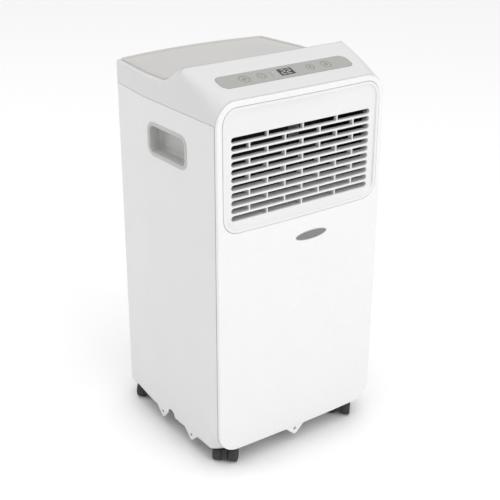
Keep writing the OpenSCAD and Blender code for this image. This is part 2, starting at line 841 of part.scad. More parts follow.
module caster_wheels(x, y) color([0.15, 0.15, 0.15]) {
    gap = 0.5;
    inner = fork_w / 2 + gap;
    rod_x(y + trail, axle_z, axle_r, x - inner - wheel_w, x + inner + wheel_w);
    for (side = [LEFT, RIGHT]) {
        translate([x + side * (inner + wheel_w / 2), y + trail, axle_z]) rotate([0, 90, 0])
            rotate_extrude() polygon([[axle_r - 0.5, -wheel_w / 2], [wheel_d / 2 - 1.5, -wheel_w / 2],
                [wheel_d / 2, -wheel_w / 2 + 1.5], [wheel_d / 2, wheel_w / 2 - 1.5],
                [wheel_d / 2 - 1.5, wheel_w / 2], [axle_r - 0.5, wheel_w / 2]]);
    }
}

module caster_fork_front_left() caster_at(-stem_x, stem_front_y) caster_fork(-stem_x, stem_front_y);
module caster_fork_front_right() caster_at(stem_x, stem_front_y) caster_fork(stem_x, stem_front_y);
module caster_fork_rear_left() caster_at(-stem_x, stem_rear_y) caster_fork(-stem_x, stem_rear_y);
module caster_fork_rear_right() caster_at(stem_x, stem_rear_y) caster_fork(stem_x, stem_rear_y);
module caster_wheels_front_left() caster_at(-stem_x, stem_front_y) caster_wheels(-stem_x, stem_front_y);
module caster_wheels_front_right() caster_at(stem_x, stem_front_y) caster_wheels(stem_x, stem_front_y);
module caster_wheels_rear_left() caster_at(-stem_x, stem_rear_y) caster_wheels(-stem_x, stem_rear_y);
module caster_wheels_rear_right() caster_at(stem_x, stem_rear_y) caster_wheels(stem_x, stem_rear_y);

module chassis_posts() color([0.6, 0.6, 0.62]) {
    for (side = [LEFT, RIGHT]) {
        x = side * post_x;
        block(x - 1.5, x + 1.5, post_y - 12, post_y + 12, pan_top_z, middle_z);
        block(min(x, x - side * 16), max(x, x - side * 16), post_y - 12, post_y + 12, pan_top_z, pan_top_z + 2);
        block(min(x, x - side * 16), max(x, x - side * 16), post_y - 12, post_y + 12, middle_z - 2, middle_z);
    }
}

module middle_deck() color([0.55, 0.55, 0.56]) {
    inset = wall + 2;
    difference() {
        union() {
            translate([0, 0, middle_z]) linear_extrude(8) polygon(concat([[half_w - inset, nest_y + 4]],
                [for (p = plan(inset)) if (p[1] > casing_front_y + 2) p], [[-half_w + inset, nest_y + 4]]));
            drain_sleeve(upper_plug_x, upper_plug_z, rear_y - 42);
            block(upper_plug_x - 8, upper_plug_x + 8, rear_y - 52, rear_y - 41, upper_plug_z - 9, middle_z + 1);
        }
        translate([0, 0, middle_z + deck_t]) linear_extrude(9) polygon(concat([[half_w - inset - 2, nest_y + 6]],
            [for (p = plan(inset + 2)) if (p[1] > casing_front_y + 2) p], [[-half_w + inset + 2, nest_y + 6]]));
        drain_hole(upper_plug_x, upper_plug_z, rear_y - 48);
        rod_z(upper_plug_x, rear_y - 45.5, 4, upper_plug_z, middle_z + 5);
        rod_z(suction_x, suction_y, pipe_r + 2, middle_z - 1, middle_z + 5);
        rod_z(capillary_x, capillary_y, 4, middle_z - 1, middle_z + 5);
    }
}

// ---- cooling system ----

foot_r = 64;

module compressor() color([0.15, 0.15, 0.17]) {
    translate([compressor_x, compressor_y, compressor_z]) {
        cylinder(r = compressor_r, h = compressor_h - 14);
        translate([0, 0, compressor_h - 14]) cylinder(r1 = compressor_r - 1, r2 = 30, h = 14);
        translate([0, 0, compressor_h - 8]) cylinder(r = 14, h = 12);
        for (i = [0:2]) {
            rotate([0, 0, 90 + i * 120]) difference() {
                translate([0, -13, 0]) cube([foot_r + 10, 26, 3]);
                translate([foot_r, 0, -1]) cylinder(r = 5, h = 5);
            }
        }
    }
}

module compressor_grommets() color([0.1, 0.1, 0.1]) {
    for (i = [0:2]) {
        a = 90 + i * 120;
        translate([compressor_x + foot_r * cos(a), compressor_y + foot_r * sin(a), pan_top_z]) {
            cylinder(r = 9, h = compressor_z - pan_top_z);
            cylinder(r = 4.8, h = compressor_z - pan_top_z + 3);
            translate([0, 0, compressor_z - pan_top_z + 3]) cylinder(r = 8, h = 3);
        }
    }
}

module accumulator() color([0.2, 0.2, 0.22]) {
    translate([accumulator_x, accumulator_y, accumulator_z]) {
        cylinder(r = accumulator_r, h = accumulator_h);
        translate([0, 0, accumulator_h - 1]) cylinder(r1 = accumulator_r - 2, r2 = 7, h = 10);
        translate([0, 0, -8]) cylinder(r1 = 6, r2 = accumulator_r - 2, h = 9);
    }
    // short pipe into the side of the compressor
    block(compressor_x + compressor_r - 0.5, accumulator_x - accumulator_r + 1, accumulator_y + 10, accumulator_y + 17,
        accumulator_z + 40, accumulator_z + 60);
}

// A finned coil: tube sheets that stand on their feet at both ends, a fin pack between and return bends outside
module coil(z, h, foot) {
    rows = floor(h / 25);
    block(-coil_w / 2 + 1.5, coil_w / 2 - 1.5, coil_y + 1, coil_y + coil_t - 1, z + 1, z + h - 1);
    for (side = [LEFT, RIGHT]) {
        x = side * coil_w / 2;
        block(min(x, x - side * 1.5), max(x, x - side * 1.5), coil_y, coil_y + coil_t, z, z + h);
        block(min(x, x - side * 12), max(x, x - side * 12), coil_y, coil_y + 6, z - foot, z + 2);
        for (i = [0:rows - 1]) {
            bend_z = z + (i + 0.5) * h / rows;
            block(min(x, x + side * coil_end), max(x, x + side * coil_end), coil_y + 6, coil_y + coil_t - 6,
                bend_z - 3.5, bend_z + 3.5);
        }
    }
}

module evaporator_coil() color([0.75, 0.76, 0.78]) coil(upper_z, evaporator_h, upper_z - middle_z - deck_t);
module condenser_coil() color([0.75, 0.76, 0.78]) coil(condenser_z, condenser_h, condenser_z - pan_top_z);

// A fan's square scroll case, open on the coil side, with a shaft hole in front
module scroll_case(x, z, r, half) {
    difference() {
        block(x - half, x + half, scroll_front_y, scroll_back_y, z - half, z + half);
        rod_y(x, z, r + 5, scroll_front_y + scroll_t, scroll_back_y - scroll_t);
        rod_y(x, z, r - 8, scroll_front_y + scroll_t, scroll_back_y + 1);
        rod_y(x, z, shaft_r + 2, scroll_front_y - 1, scroll_back_y);
        children();
    }
}

// A squirrel-cage wheel: back plate, ring and blades round a hub
module cage_wheel(x, z, r) {
    blades = 24;
    y0 = scroll_front_y + 6;
    y1 = scroll_back_y - 6;
    difference() {
        rod_y(x, z, r, y0, y0 + 2);
        rod_y(x, z, shaft_r, y0 - 1, y0 + 3);
    }
    difference() {
        rod_y(x, z, r, y1 - 3, y1);
        rod_y(x, z, r - 10, y1 - 4, y1 + 1);
    }
    difference() {
        rod_y(x, z, shaft_r + 5, y0 + 1, y0 + 20);
        rod_y(x, z, shaft_r, y0, y0 + 21);
    }
    for (i = [0:blades - 1]) {
        translate([x, 0, z]) rotate([0, i * 360 / blades, 0]) translate([r - 9, y0 + 1, 0]) rotate([0, 25, 0])
            cube([9, y1 - y0 - 2, 1.2]);
    }
    // shaft, from the motor into the hub
    rod_y(x, z, shaft_r, scroll_front_y - 8, y0 + 20);
}

module fan_motor_body(x, z, r, depth) {
    y1 = scroll_front_y;
    difference() {
        union() {
            rod_y(x, z, r, y1 - depth, y1 - 2);
            rod_y(x, z, r * 0.55, y1 - depth - 6, y1 - depth + 1);
            for (a = [45:90:315]) {
                translate([x, y1 - 8, z]) rotate([0, a, 0]) translate([r - 3, 0, -5]) cube([14, 8, 10]);
            }
        }
        rod_y(x, z, shaft_r + run_gap, y1 - 26, y1 + 1);
    }
}

blower_half = blower_r + 14;
fan_half = fan_r + 12;
neck_x0 = blower_x + motor_r + 14;
neck_z0 = blower_z + 12;

module blower_scroll() color([0.8, 0.8, 0.8]) {
    scroll_case(blower_x, blower_z, blower_r, blower_half)
        block(neck_x0 + 3, blower_half + blower_x - 3, scroll_front_y - 1, scroll_front_y + 30,
            neck_z0 + 3, blower_z + blower_half - 6);
    // neck that carries the air forward to the outlet duct
    difference() {
        block(neck_x0, blower_half + blower_x, duct_back_y, scroll_front_y, neck_z0, blower_z + blower_half - 3);
        block(neck_x0 + 3, blower_half + blower_x - 3, duct_back_y - 1, scroll_front_y + 1,
            neck_z0 + 3, blower_z + blower_half - 6);
    }
}

module blower_wheel() color([0.25, 0.25, 0.26]) cage_wheel(blower_x, blower_z, blower_r);
module blower_motor() color([0.6, 0.6, 0.62]) fan_motor_body(blower_x, blower_z, motor_r, 40);

duct_step = 4;

// The riser's hole is smaller than the collar's bore by the step, which stops a hose's spigot
module fan_scroll() color([0.8, 0.8, 0.8]) {
    top = middle_z - 4;
    scroll_case(fan_x, fan_z, fan_r, fan_half)
        block(fan_x + 10, fan_x + fan_half - 3, scroll_front_y + 3, scroll_back_y - 3, fan_z + 20, fan_z + fan_half + 1);
    // riser that carries the hot air up to the exhaust collar
    difference() {
        block(fan_x - fan_half, fan_x + fan_half, scroll_front_y, scroll_back_y, fan_z + fan_half, top);
        block(fan_x - fan_half + 3, fan_x + fan_half - 3, scroll_front_y + 3, scroll_back_y - 3,
            fan_z + fan_half - 1, top - 3);
        rod_y(fan_x, collar_z, collar_r - collar_t - duct_step, scroll_back_y - 4, scroll_back_y + 1);
    }
    // guard bars that keep fingers out of the duct
    for (i = [-2:2]) {
        block(fan_x + i * 22 - 1.2, fan_x + i * 22 + 1.2, scroll_back_y - 2.8, scroll_back_y - 0.3,
            collar_z - collar_r + 2, collar_z + collar_r - 2);
    }
}

module fan_wheel() color([0.25, 0.25, 0.26]) cage_wheel(fan_x, fan_z, fan_r);
module fan_motor() color([0.6, 0.6, 0.62]) fan_motor_body(fan_x, fan_z, motor_r, 44);

// Square duct from the blower's neck to the back of the lattice
module outlet_duct() color([0.3, 0.3, 0.3]) {
    z0 = middle_z + 8;
    z1 = grille_top_z - 14;
    y0 = lattice_back_y + 0.3;
    difference() {
        block(-duct_w / 2, duct_w / 2, y0, duct_back_y, z0, z1);
        block(-duct_w / 2 + 2, duct_w / 2 - 2, y0 - 1, duct_back_y - 2, z0 + 2, z1 - 2);
        block(neck_x0 + 3, blower_half + blower_x - 3, duct_back_y - 3, duct_back_y + 1,
            neck_z0 + 3, blower_z + blower_half - 6);
    }
}

// A pipe through a list of corner points that differ along one axis at a time, with a socket at each corner
module pipe(points, r) {
    for (i = [0:len(points) - 2]) {
        a = points[i];
        b = points[i + 1];
        d = b - a;
        translate(a) rotate(abs(d[0]) > 0 ? [0, sign(d[0]) * 90, 0]
            : abs(d[1]) > 0 ? [-sign(d[1]) * 90, 0, 0] : [d[2] > 0 ? 0 : 180, 0, 0]) cylinder(r = r, h = norm(d), $fn = 24);
    }
    for (i = [1:len(points) - 2]) {
        translate(points[i]) sphere(r = r * 1.25, $fn = 24);
    }
}

module suction_pipe() color([0.72, 0.45, 0.2]) {
    start = upper_z + 16;
    pipe([[-coil_w / 2 - coil_end, suction_y, start], [suction_x, suction_y, start],
        [suction_x, suction_y, pipe_level_z], [suction_x, accumulator_y, pipe_level_z],
        [accumulator_x, accumulator_y, pipe_level_z],
        [accumulator_x, accumulator_y, accumulator_z + accumulator_h + 9]], pipe_r);
}

module discharge_pipe() color([0.72, 0.45, 0.2]) {
    x = compressor_x + 20;
    pipe([[x, compressor_y, compressor_z + compressor_h], [x, compressor_y, pipe_level_z],
        [x, coil_y, pipe_level_z]], pipe_r);
}

module capillary_tube() color([0.72, 0.45, 0.2]) {
    pipe([[capillary_x, coil_y, condenser_z + condenser_h - 12], [capillary_x, capillary_y, condenser_z + condenser_h - 12],
        [capillary_x, capillary_y, upper_z + 16], [capillary_x, coil_y, upper_z + 16]], 1.6);
}

// ---- electrics ----

box_w = 84;
box_d = 110;
box_h = 120;
box_x = -post_x + 1.5;
box_y = post_y - 60;

module control_box() color([0.7, 0.7, 0.7]) {
    difference() {
        block(box_x, box_x + box_w, box_y, box_y + box_d, box_z, box_z + box_h);
        block(box_x + 2, box_x + box_w + 1, box_y + 2, box_y + box_d - 2, box_z + 2, box_z + box_h - 2);
    }
}

module main_board() color([0.1, 0.4, 0.2]) {
    x = box_x + 10;
    block(x, x + 1.6, box_y + 8, box_y + box_d - 8, box_z + 8, box_z + box_h - 8);
    block(x + 1.6, x + 34, box_y + 16, box_y + 46, box_z + 16, box_z + 48);
    block(x + 1.6, x + 18, box_y + 56, box_y + 84, box_z + 16, box_z + 36);
    block(x + 1.6, x + 14, box_y + 16, box_y + 30, box_z + 70, box_z + 96);
    for (i = [0:2]) {
        rod_x(box_y + 52 + i * 16, box_z + 74, 6, x + 1.6, x + 24);
    }
    for (y = [box_y + 14, box_y + box_d - 14], z = [box_z + 12, box_z + box_h - 12]) {
        rod_x(y, z, 3, box_x + 2, x);
    }
}

module run_capacitor() color([0.75, 0.75, 0.78]) {
    x = box_x + box_w + 22;
    y = box_y + 40;
    rod_z(x, y, 20, box_z + 14, box_z + 84);
    rod_z(x, y, 14, box_z + 83, box_z + 87);
    for (side = [-1, 1]) {
        block(x - 1, x + 1, y + side * 6 - 3, y + side * 6 + 3, box_z + 86, box_z + 95);
    }
    // strap that holds it to the control box
    block(box_x + box_w, x - 12, y - 12, y + 12, box_z + 2, box_z + 12);
    rod_z(x, y, 21, box_z + 2, box_z + 15);
}

float_r = 12;
float_h = 12;
float_travel = 15;
float_stem_r = 3;

module level_switch() color([0.85, 0.85, 0.85]) {
    top = pan_top_z + 2 + float_h + float_travel + 4;
    rod_z(float_x, float_y, float_stem_r, pan_top_z, top + 2);
    rod_z(float_x, float_y, 8, pan_top_z, pan_top_z + 2);
    block(float_x - 7, float_x + 34, float_y - 7, float_y + 7, top, top + 10);
    block(float_x + 26, float_x + 34, float_y - 7, float_y + 7, pan_top_z, top + 1);
}

module level_float() color([0.95, 0.95, 0.95]) {
    difference() {
        rod_z(float_x, float_y, float_r, pan_top_z + 2.3, pan_top_z + 2 + float_h);
        rod_z(float_x, float_y, float_stem_r + 0.4, pan_top_z + 1, pan_top_z + 3 + float_h);
    }
}

splash_r = 26;
splash_z = pan_top_z + splash_r + 3;
splash_t = 5;
splash_shaft_r = 2;

module splash_motor() color([0.6, 0.6, 0.62]) {
    difference() {
        union() {
            rod_y(splash_x, splash_z, 18, splash_y - 34, splash_y - 8);
            block(splash_x - 20, splash_x + 20, splash_y - 34, splash_y - 28, pan_top_z, splash_z);
        }
        rod_y(splash_x, splash_z, splash_shaft_r + run_gap, splash_y - 20, splash_y);
    }
}

module splash_wheel() color([0.9, 0.9, 0.9]) {
    rod_y(splash_x, splash_z, splash_r, splash_y, splash_y + 2);
    rod_y(splash_x, splash_z, splash_shaft_r, splash_y - 18, splash_y + 1);
    for (i = [0:7]) {
        translate([splash_x, splash_y + 1, splash_z]) rotate([0, i * 45, 0]) translate([8, 0, -0.8])
            cube([splash_r - 9, splash_t, 1.6]);
    }
}

// ---- fasteners ----

screw_r = 2;
screw_head_r = 3.6;

// A pan-head screw in the rear face
module rear_screw(x, z) {
    back = rear_at(x);
    rod_y(x, z, screw_r, back - 0.5, back + 0.2);
    rod_y(x, z, screw_head_r, back, back + 1.6);
}

module case_screws() color([0.5, 0.5, 0.5]) {
    edge = rear_split_x - 10;
    for (x = [-edge, edge], z = [skirt_z + 60, rear_seam_z - 18, rear_seam_z + 18, seam_z - 16]) {
        rear_screw(x, z);
    }
}

// ---- selection ----

front_panel();
front_grille();
grille_lattice();
top_cover();
top_tray();
control_strip();
button(-big_button_x, big_button_r);  // power_button
button(-small_button_x, small_button_r);  // minus_button
button(small_button_x, small_button_r);  // plus_button
button(big_button_x, big_button_r);  // mode_button
display_window();
indicator_lenses();
badge();
side_casing_left();
side_casing_right();
handle_cup(LEFT);  // handle_cup_left
handle_cup(RIGHT);  // handle_cup_right
rear_upper_housing();
rear_lower_housing();
upper_filter();
lower_filter();
exhaust_collar();
upper_drain_plug();
lower_drain_plug();
cord_gland();
base_pan();
case_screws();
caster_fork_front_left();
caster_fork_front_right();
caster_fork_rear_left();
caster_fork_rear_right();
caster_wheels_front_left();
caster_wheels_front_right();
caster_wheels_rear_left();
caster_wheels_rear_right();
compressor();
compressor_grommets();
accumulator();
evaporator_coil();
condenser_coil();
blower_scroll();
blower_wheel();
blower_motor();
fan_scroll();
fan_wheel();
fan_motor();
middle_deck();
outlet_duct();
discharge_pipe();
suction_pipe();
capillary_tube();
control_box();
main_board();
keypad_board();
run_capacitor();
level_switch();
level_float();
splash_motor();
splash_wheel();
chassis_posts();
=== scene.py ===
import math

import bmesh
import bpy
import numpy as np
from mathutils import Matrix, Vector


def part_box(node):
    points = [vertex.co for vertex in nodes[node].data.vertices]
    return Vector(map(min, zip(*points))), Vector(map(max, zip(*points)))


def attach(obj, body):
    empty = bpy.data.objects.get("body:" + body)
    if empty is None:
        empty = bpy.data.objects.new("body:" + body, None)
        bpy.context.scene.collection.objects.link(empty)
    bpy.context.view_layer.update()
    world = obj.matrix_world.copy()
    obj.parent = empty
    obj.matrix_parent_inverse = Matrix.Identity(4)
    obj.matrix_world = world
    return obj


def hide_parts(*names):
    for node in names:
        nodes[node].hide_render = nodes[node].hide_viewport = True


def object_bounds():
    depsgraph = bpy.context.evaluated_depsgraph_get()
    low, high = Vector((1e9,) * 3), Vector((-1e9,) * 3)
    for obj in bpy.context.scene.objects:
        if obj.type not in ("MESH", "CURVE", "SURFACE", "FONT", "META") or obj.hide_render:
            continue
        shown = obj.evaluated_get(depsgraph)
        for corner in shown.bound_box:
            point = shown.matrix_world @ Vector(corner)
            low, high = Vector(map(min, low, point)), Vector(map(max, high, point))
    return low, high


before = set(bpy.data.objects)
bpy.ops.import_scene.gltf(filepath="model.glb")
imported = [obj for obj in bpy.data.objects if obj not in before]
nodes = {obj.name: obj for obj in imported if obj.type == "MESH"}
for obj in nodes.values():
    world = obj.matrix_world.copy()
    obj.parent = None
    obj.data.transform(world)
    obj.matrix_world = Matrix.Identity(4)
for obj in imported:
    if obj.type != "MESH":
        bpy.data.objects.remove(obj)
cad_low, cad_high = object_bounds()
MM = 0.001

# ---- sizes taken from the frame, in metres ----

panel_low, panel_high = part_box("front_panel")
cover_low, cover_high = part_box("top_cover")
casing_low, casing_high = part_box("side_casing_left")
grille_low, grille_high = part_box("front_grille")
lattice_low, lattice_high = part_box("grille_lattice")
cup_low, cup_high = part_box("handle_cup_left")
strip_low, strip_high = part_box("control_strip")
badge_low, badge_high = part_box("badge")

half_width = panel_high.x
front = panel_low.y
rear = cad_high.y
skirt = casing_high.z - 600 * MM
seam_height = casing_high.z
hump_height = cover_high.z
panel_top = panel_high.z
wall = 2.5 * MM

# ---- sizes of the shapes, in metres ----

corner_radius = 38 * MM
bow_across = 4 * MM
bow_upright = 1.2 * MM
panel_edge = front + bow_across
panel_back = panel_edge + 5 * MM
casing_front = casing_low.y
nest_back = panel_high.y
crease = rear - 128.2 * MM
rear_half_width = half_width - 11.7 * MM
rear_bow = 17.1 * MM
rear_arc_radius = (rear_half_width ** 2 + rear_bow ** 2) / (2 * rear_bow)
rear_corner = rear - rear_bow
rear_corner_radius = 14 * MM
rear_split = rear_half_width - 21 * MM
crest = front + 109.5 * MM
curve_start = crest + 78 * MM
deck_height = hump_height - 31.8 * MM
cover_front = cover_low.y
slope = math.atan2(hump_height - panel_top, crest - panel_edge)
cover_base = seam_height + 0.5 * MM
tray_margin = 9 * MM
strip_down = 56.5 * MM
strip_width = 35 * MM
strip_flat_half = strip_width / 2 - 3 * MM
strip_top = -0.4 * MM
recess_low = -strip_width / 2 - 7.4 * MM
recess_high = strip_width / 2 + 6.5 * MM
recess_reach = 139 * MM
key_gap = 0.3 * MM
key_places = {"power_button": (-84 * MM, 10 * MM), "minus_button": (-50 * MM, 8 * MM),
              "plus_button": (50 * MM, 8 * MM), "mode_button": (84 * MM, 10 * MM)}
bend_end = casing_front + 24 * MM
cup_corner = 18 * MM
caster_turn = math.radians(135)
wheel_offset = 14 * MM

grille_face = front + 7.5 * MM
lattice_front = lattice_low.y
lattice_back = lattice_high.y
slot_rows = 11
slot_pitch = 13.18 * MM
slot_height = 9.4 * MM
slot_span = 287 * MM
slot_bar = 2.4 * MM
slot_base = grille_low.z + 24.1 * MM
slot_margin = 2 * MM


# ---- numpy surfaces ----

def grid_faces(rows, columns, closed=False):
    """Quads between neighbours of a rows by columns grid; closed joins the last column to the first."""
    row = np.arange(rows - 1)[:, None] * columns
    here = np.arange(columns if closed else columns - 1)[None, :]
    there = (here + 1) % columns
    corners = [row + here, row + there, row + columns + there, row + columns + here]
    return np.stack(corners, -1).reshape(-1, 4)


def sheet(rows):
    """A part from an open grid of points: the points and the quads between them."""
    return rows, grid_faces(*rows.shape[:2])


def sleeve(rows):
    """A part from a grid of points whose rows are closed loops."""
    return rows, grid_faces(*rows.shape[:2], closed=True)


def circle_points(count, first=0.0, last=360.0):
    """Points (cos a, sin a) on a unit circle; a full turn leaves its last point out."""
    full = last - first >= 360
    angle = np.radians(np.linspace(first, last, count, endpoint=not full))
    return np.stack([np.cos(angle), np.sin(angle)], 1)


def upright(flat, y, height=0.0):
    """Stands flat (x, z) points up at a depth Y, raised by a height."""
    return np.stack([flat[..., 0], np.broadcast_to(y, flat.shape[:-1]), flat[..., 1] + height], -1)


def fillet(radius, steps=6):
    """A quarter circle from (0, radius) to (radius, 0): inset grows as 1 - cos, depth falls as 1 - sin."""
    angle = np.linspace(0, math.pi / 2, steps)
    return radius * (1 - np.cos(angle)), radius * (1 - np.sin(angle))


def smooth(t):
    """3 t squared minus 2 t cubed, held between 0 and 1."""
    t = np.clip(t, 0, 1)
    return t * t * (3 - 2 * t)


class Outline:
    """A rectangle with round corners: the inner rectangle's edge plus radius times the outward normal.

    Drawn in by an inset, the radius shrinks by it; past the radius the inner rectangle shrinks instead.
    """

    def __init__(self, width, height, radius, side=24, corner=12, tall=None):
        tall = tall or side
        self.half = np.array([width / 2, height / 2])
        self.radius = radius
        inner = self.half - radius
        base, normal = [], []
        corners = [(1, 1, 0), (-1, 1, 90), (-1, -1, 180), (1, -1, 270)]
        for i, (sx, sy, turn) in enumerate(corners):
            base.append(np.tile([sx * inner[0], sy * inner[1]], (corner + 1, 1)))
            normal.append(circle_points(corner + 1, turn, turn + 90))
            nx, ny = corners[(i + 1) % 4][:2]
            count = side if i % 2 == 0 else tall
            step = np.linspace(0, 1, count + 1)[1:-1, None]
            a = np.array([sx * inner[0], sy * inner[1]])
            b = np.array([nx * inner[0], ny * inner[1]])
            base.append(a + (b - a) * step)
            normal.append(np.tile(normal[-1][-1], (count - 1, 1)))
        self.base = np.concatenate(base)
        self.normal = np.concatenate(normal)

    def at(self, inset):
        """Points of the outline drawn in by each inset: insets by points by 2.

        A two-dimensional inset has a row of its own for every point.
        """
        inset = np.asarray(inset, float)
        inset = inset[..., None] if inset.ndim == 2 else inset.reshape(-1, 1, 1)
        limit = np.maximum(self.half - np.maximum(self.radius, inset), 0)
        return np.clip(self.base, -limit, limit) + self.normal * np.maximum(self.radius - inset, 0)

    def pushed_out(self, low, high):
        """Points of the outline pushed out on to the edge of a rectangle from low to high."""
        return np.clip((self.base + self.normal * 40) * 4, low, high)


def make_piece(name, parts, material, body, slot, stands_for=(), sharp=38, merge=2e-6, recalc=True):
    """One object from (points, faces) parts: merged, its normals outwards, and shaded smooth.

    Edges sharper than an angle in degrees stay sharp; points closer than the merge distance become one.
    """
    vertices, faces, count = [], [], 0
    for points, quads in parts:
        points = np.asarray(points, float).reshape(-1, 3)
        vertices.append(points)
        faces.extend((np.asarray(quads) + count).tolist())
        count += len(points)
    mesh = bpy.data.meshes.new(name)
    mesh.from_pydata(np.concatenate(vertices), [], faces)
    work = bmesh.new()
    work.from_mesh(mesh)
    bmesh.ops.remove_doubles(work, verts=work.verts, dist=merge)
    bmesh.ops.dissolve_degenerate(work, edges=work.edges, dist=merge)
    if recalc:
        bmesh.ops.recalc_face_normals(work, faces=work.faces)
    work.to_mesh(mesh)
    work.free()
    return place_piece(name, mesh, material, body, slot, stands_for, sharp)


def place_piece(name, mesh, material, body, slot, stands_for, sharp):
    """Shades a mesh, gives it its finish, and puts it in the scene on its body."""
    mesh.shade_smooth()
    mesh.set_sharp_from_angle(angle=math.radians(sharp))
    mesh.materials.clear()
    mesh.materials.append(material)
    piece = bpy.data.objects.new(name, mesh)
    bpy.context.scene.collection.objects.link(piece)
    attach(piece, body)
    if stands_for:
        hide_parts(*stands_for)
    return piece


def turn_towards(piece, way):
    """Flips an open surface's normals if, by area, they look away from a direction."""
    if sum(face.normal.dot(way) * face.area for face in piece.data.polygons) < 0:
        piece.data.flip_normals()


def solidify(piece, thickness):
    """Gives an open surface its wall thickness, inwards."""
    modifier = piece.modifiers.new("wall", "SOLIDIFY")
    modifier.thickness = thickness
    modifier.offset = -1.0
    modifier.use_even_offset = False
    return piece


def bevel_edges(piece, width, segments, angle):
    """Rounds the edges sharper than an angle in degrees."""
    bevel = piece.modifiers.new("edges", "BEVEL")
    bevel.width = width
    bevel.segments = segments
    bevel.limit_method = "ANGLE"
    bevel.angle_limit = math.radians(angle)
    bevel.harden_normals = False
    return piece


def bevelled_copy(node, material, slot, body, width):
    """A CAD node's own shape, merged, its flat faces joined, and its edges rounded by a bevel."""
    mesh = nodes[node].data.copy()
    work = bmesh.new()
    work.from_mesh(mesh)
    bmesh.ops.remove_doubles(work, verts=work.verts, dist=1e-6)
    bmesh.ops.dissolve_limit(work, angle_limit=math.radians(0.6), verts=work.verts, edges=work.edges)
    work.to_mesh(mesh)
    work.free()
    piece = place_piece(node + "_finished", mesh, material, body, slot, [node], 32)
    return bevel_edges(piece, width, 2, 32)


def lathe(profile, centre, axis, steps=48):
    """A profile of (radius, height) points turned about an axis: height runs along it, radius away."""
    profile = np.asarray(profile, float)
    turn = np.linspace(0, 2 * math.pi, steps, endpoint=False)
    radius, height = profile[:, 0][:, None], profile[:, 1][:, None]
    local = np.stack([radius * np.cos(turn), radius * np.sin(turn), height + 0 * turn], -1)
    frame_of = Vector(axis).normalized().to_track_quat("Z", "Y").to_matrix()
    points = local.reshape(-1, 3) @ np.array(frame_of).T + np.array(centre)
    return points, grid_faces(len(profile), steps, closed=True)


# ---- materials ----

def shade_by(tree, source, *stops):
    """A ramp of two stops, each a position and a colour, turns a source into the shader's colour."""
    ramp = tree.nodes.new("ShaderNodeValToRGB")
    for element, (position, colour) in zip(ramp.color_ramp.elements, stops):
        element.position = position
        element.color = [*colour, 1]
    tree.links.new(source, ramp.inputs["Fac"])
    tree.links.new(ramp.outputs["Color"], tree.nodes["Principled BSDF"].inputs["Base Color"])


def bands(tree, direction, pitch):
    """Sine bands across one axis of the object, one to a pitch."""
    place = next(n for n in tree.nodes if n.type == "TEX_COORD")
    wave = tree.nodes.new("ShaderNodeTexWave")
    wave.wave_type = "BANDS"
    wave.bands_direction = direction
    wave.inputs["Scale"].default_value = 1 / (pitch * math.pi)
    tree.links.new(place.outputs["Object"], wave.inputs["Vector"])
    return wave.outputs["Fac"]


def plastic(name, colour, roughness=0.42, grain=0.0003, grain_scale=900.0, spread=0.03, coat=0.0):
    """A moulded plastic: faint cloudy colour, a fine grain as bump, and roughness that varies a little."""
    material = bpy.data.materials.new(name)
    material.use_nodes = True
    tree = material.node_tree
    shader = tree.nodes["Principled BSDF"]
    shader.inputs["Coat Weight"].default_value = coat
    shader.inputs["Coat Roughness"].default_value = 0.1
    place = tree.nodes.new("ShaderNodeTexCoord")
    cloud = tree.nodes.new("ShaderNodeTexNoise")
    cloud.inputs["Scale"].default_value = 14.0
    cloud.inputs["Detail"].default_value = 3.0
    tree.links.new(place.outputs["Object"], cloud.inputs["Vector"])
    dark = [c * (1 - spread) for c in colour]
    light = [min(1.0, c * (1 + spread * 0.4)) for c in colour]
    shade_by(tree, cloud.outputs["Fac"], (0.3, dark), (0.7, light))
    fine = tree.nodes.new("ShaderNodeTexNoise")
    fine.inputs["Scale"].default_value = grain_scale
    fine.inputs["Detail"].default_value = 4.0
    tree.links.new(place.outputs["Object"], fine.inputs["Vector"])
    rough = tree.nodes.new("ShaderNodeMapRange")
    rough.inputs["To Min"].default_value = max(0.02, roughness - 0.05)
    rough.inputs["To Max"].default_value = roughness + 0.05
    tree.links.new(fine.outputs["Fac"], rough.inputs["Value"])
    tree.links.new(rough.outputs["Result"], shader.inputs["Roughness"])
    bump = tree.nodes.new("ShaderNodeBump")
    bump.inputs["Strength"].default_value = 0.35
    bump.inputs["Distance"].default_value = grain
    tree.links.new(fine.outputs["Fac"], bump.inputs["Height"])
    tree.links.new(bump.outputs["Normal"], shader.inputs["Normal"])
    return material


def metal(name, colour, roughness=0.35, streak=(1.0, 1.0, 30.0), scale=60.0, spread=0.08):
    """A rolled or brushed metal: noise stretched along one axis drives shade, roughness and a faint bump."""
    material = plastic(name, colour, roughness, grain=0.0001, grain_scale=scale, spread=spread)
    tree = material.node_tree
    tree.nodes["Principled BSDF"].inputs["Metallic"].default_value = 1.0
    place = next(n for n in tree.nodes if n.type == "TEX_COORD")
    stretch = tree.nodes.new("ShaderNodeMapping")
    stretch.inputs["Scale"].default_value = streak
    tree.links.new(place.outputs["Object"], stretch.inputs["Vector"])
    for noise in [n for n in tree.nodes if n.type == "TEX_NOISE"]:
        tree.links.new(stretch.outputs["Vector"], noise.inputs["Vector"])
    return material


def glow(name, colour, strength):
    """A lit display segment: a plastic that also shines, a little unevenly."""
    material = plastic(name, colour, 0.5, grain=0.00002)
    shader = material.node_tree.nodes["Principled BSDF"]
    shader.inputs["Emission Color"].default_value = (*colour, 1)
    shader.inputs["Emission Strength"].default_value = strength
    return material


def finned(name, colour, pitch):
    """A pack of thin fins: sine bands across X at the fin pitch darken its colour between the fins, painted
    shade in the gaps.
    """
    material = metal(name, colour, 0.4)
    tree = material.node_tree
    dark = [c * 0.2 for c in colour]
    shade_by(tree, bands(tree, "X", pitch), (0, dark), (1, colour))
    return material


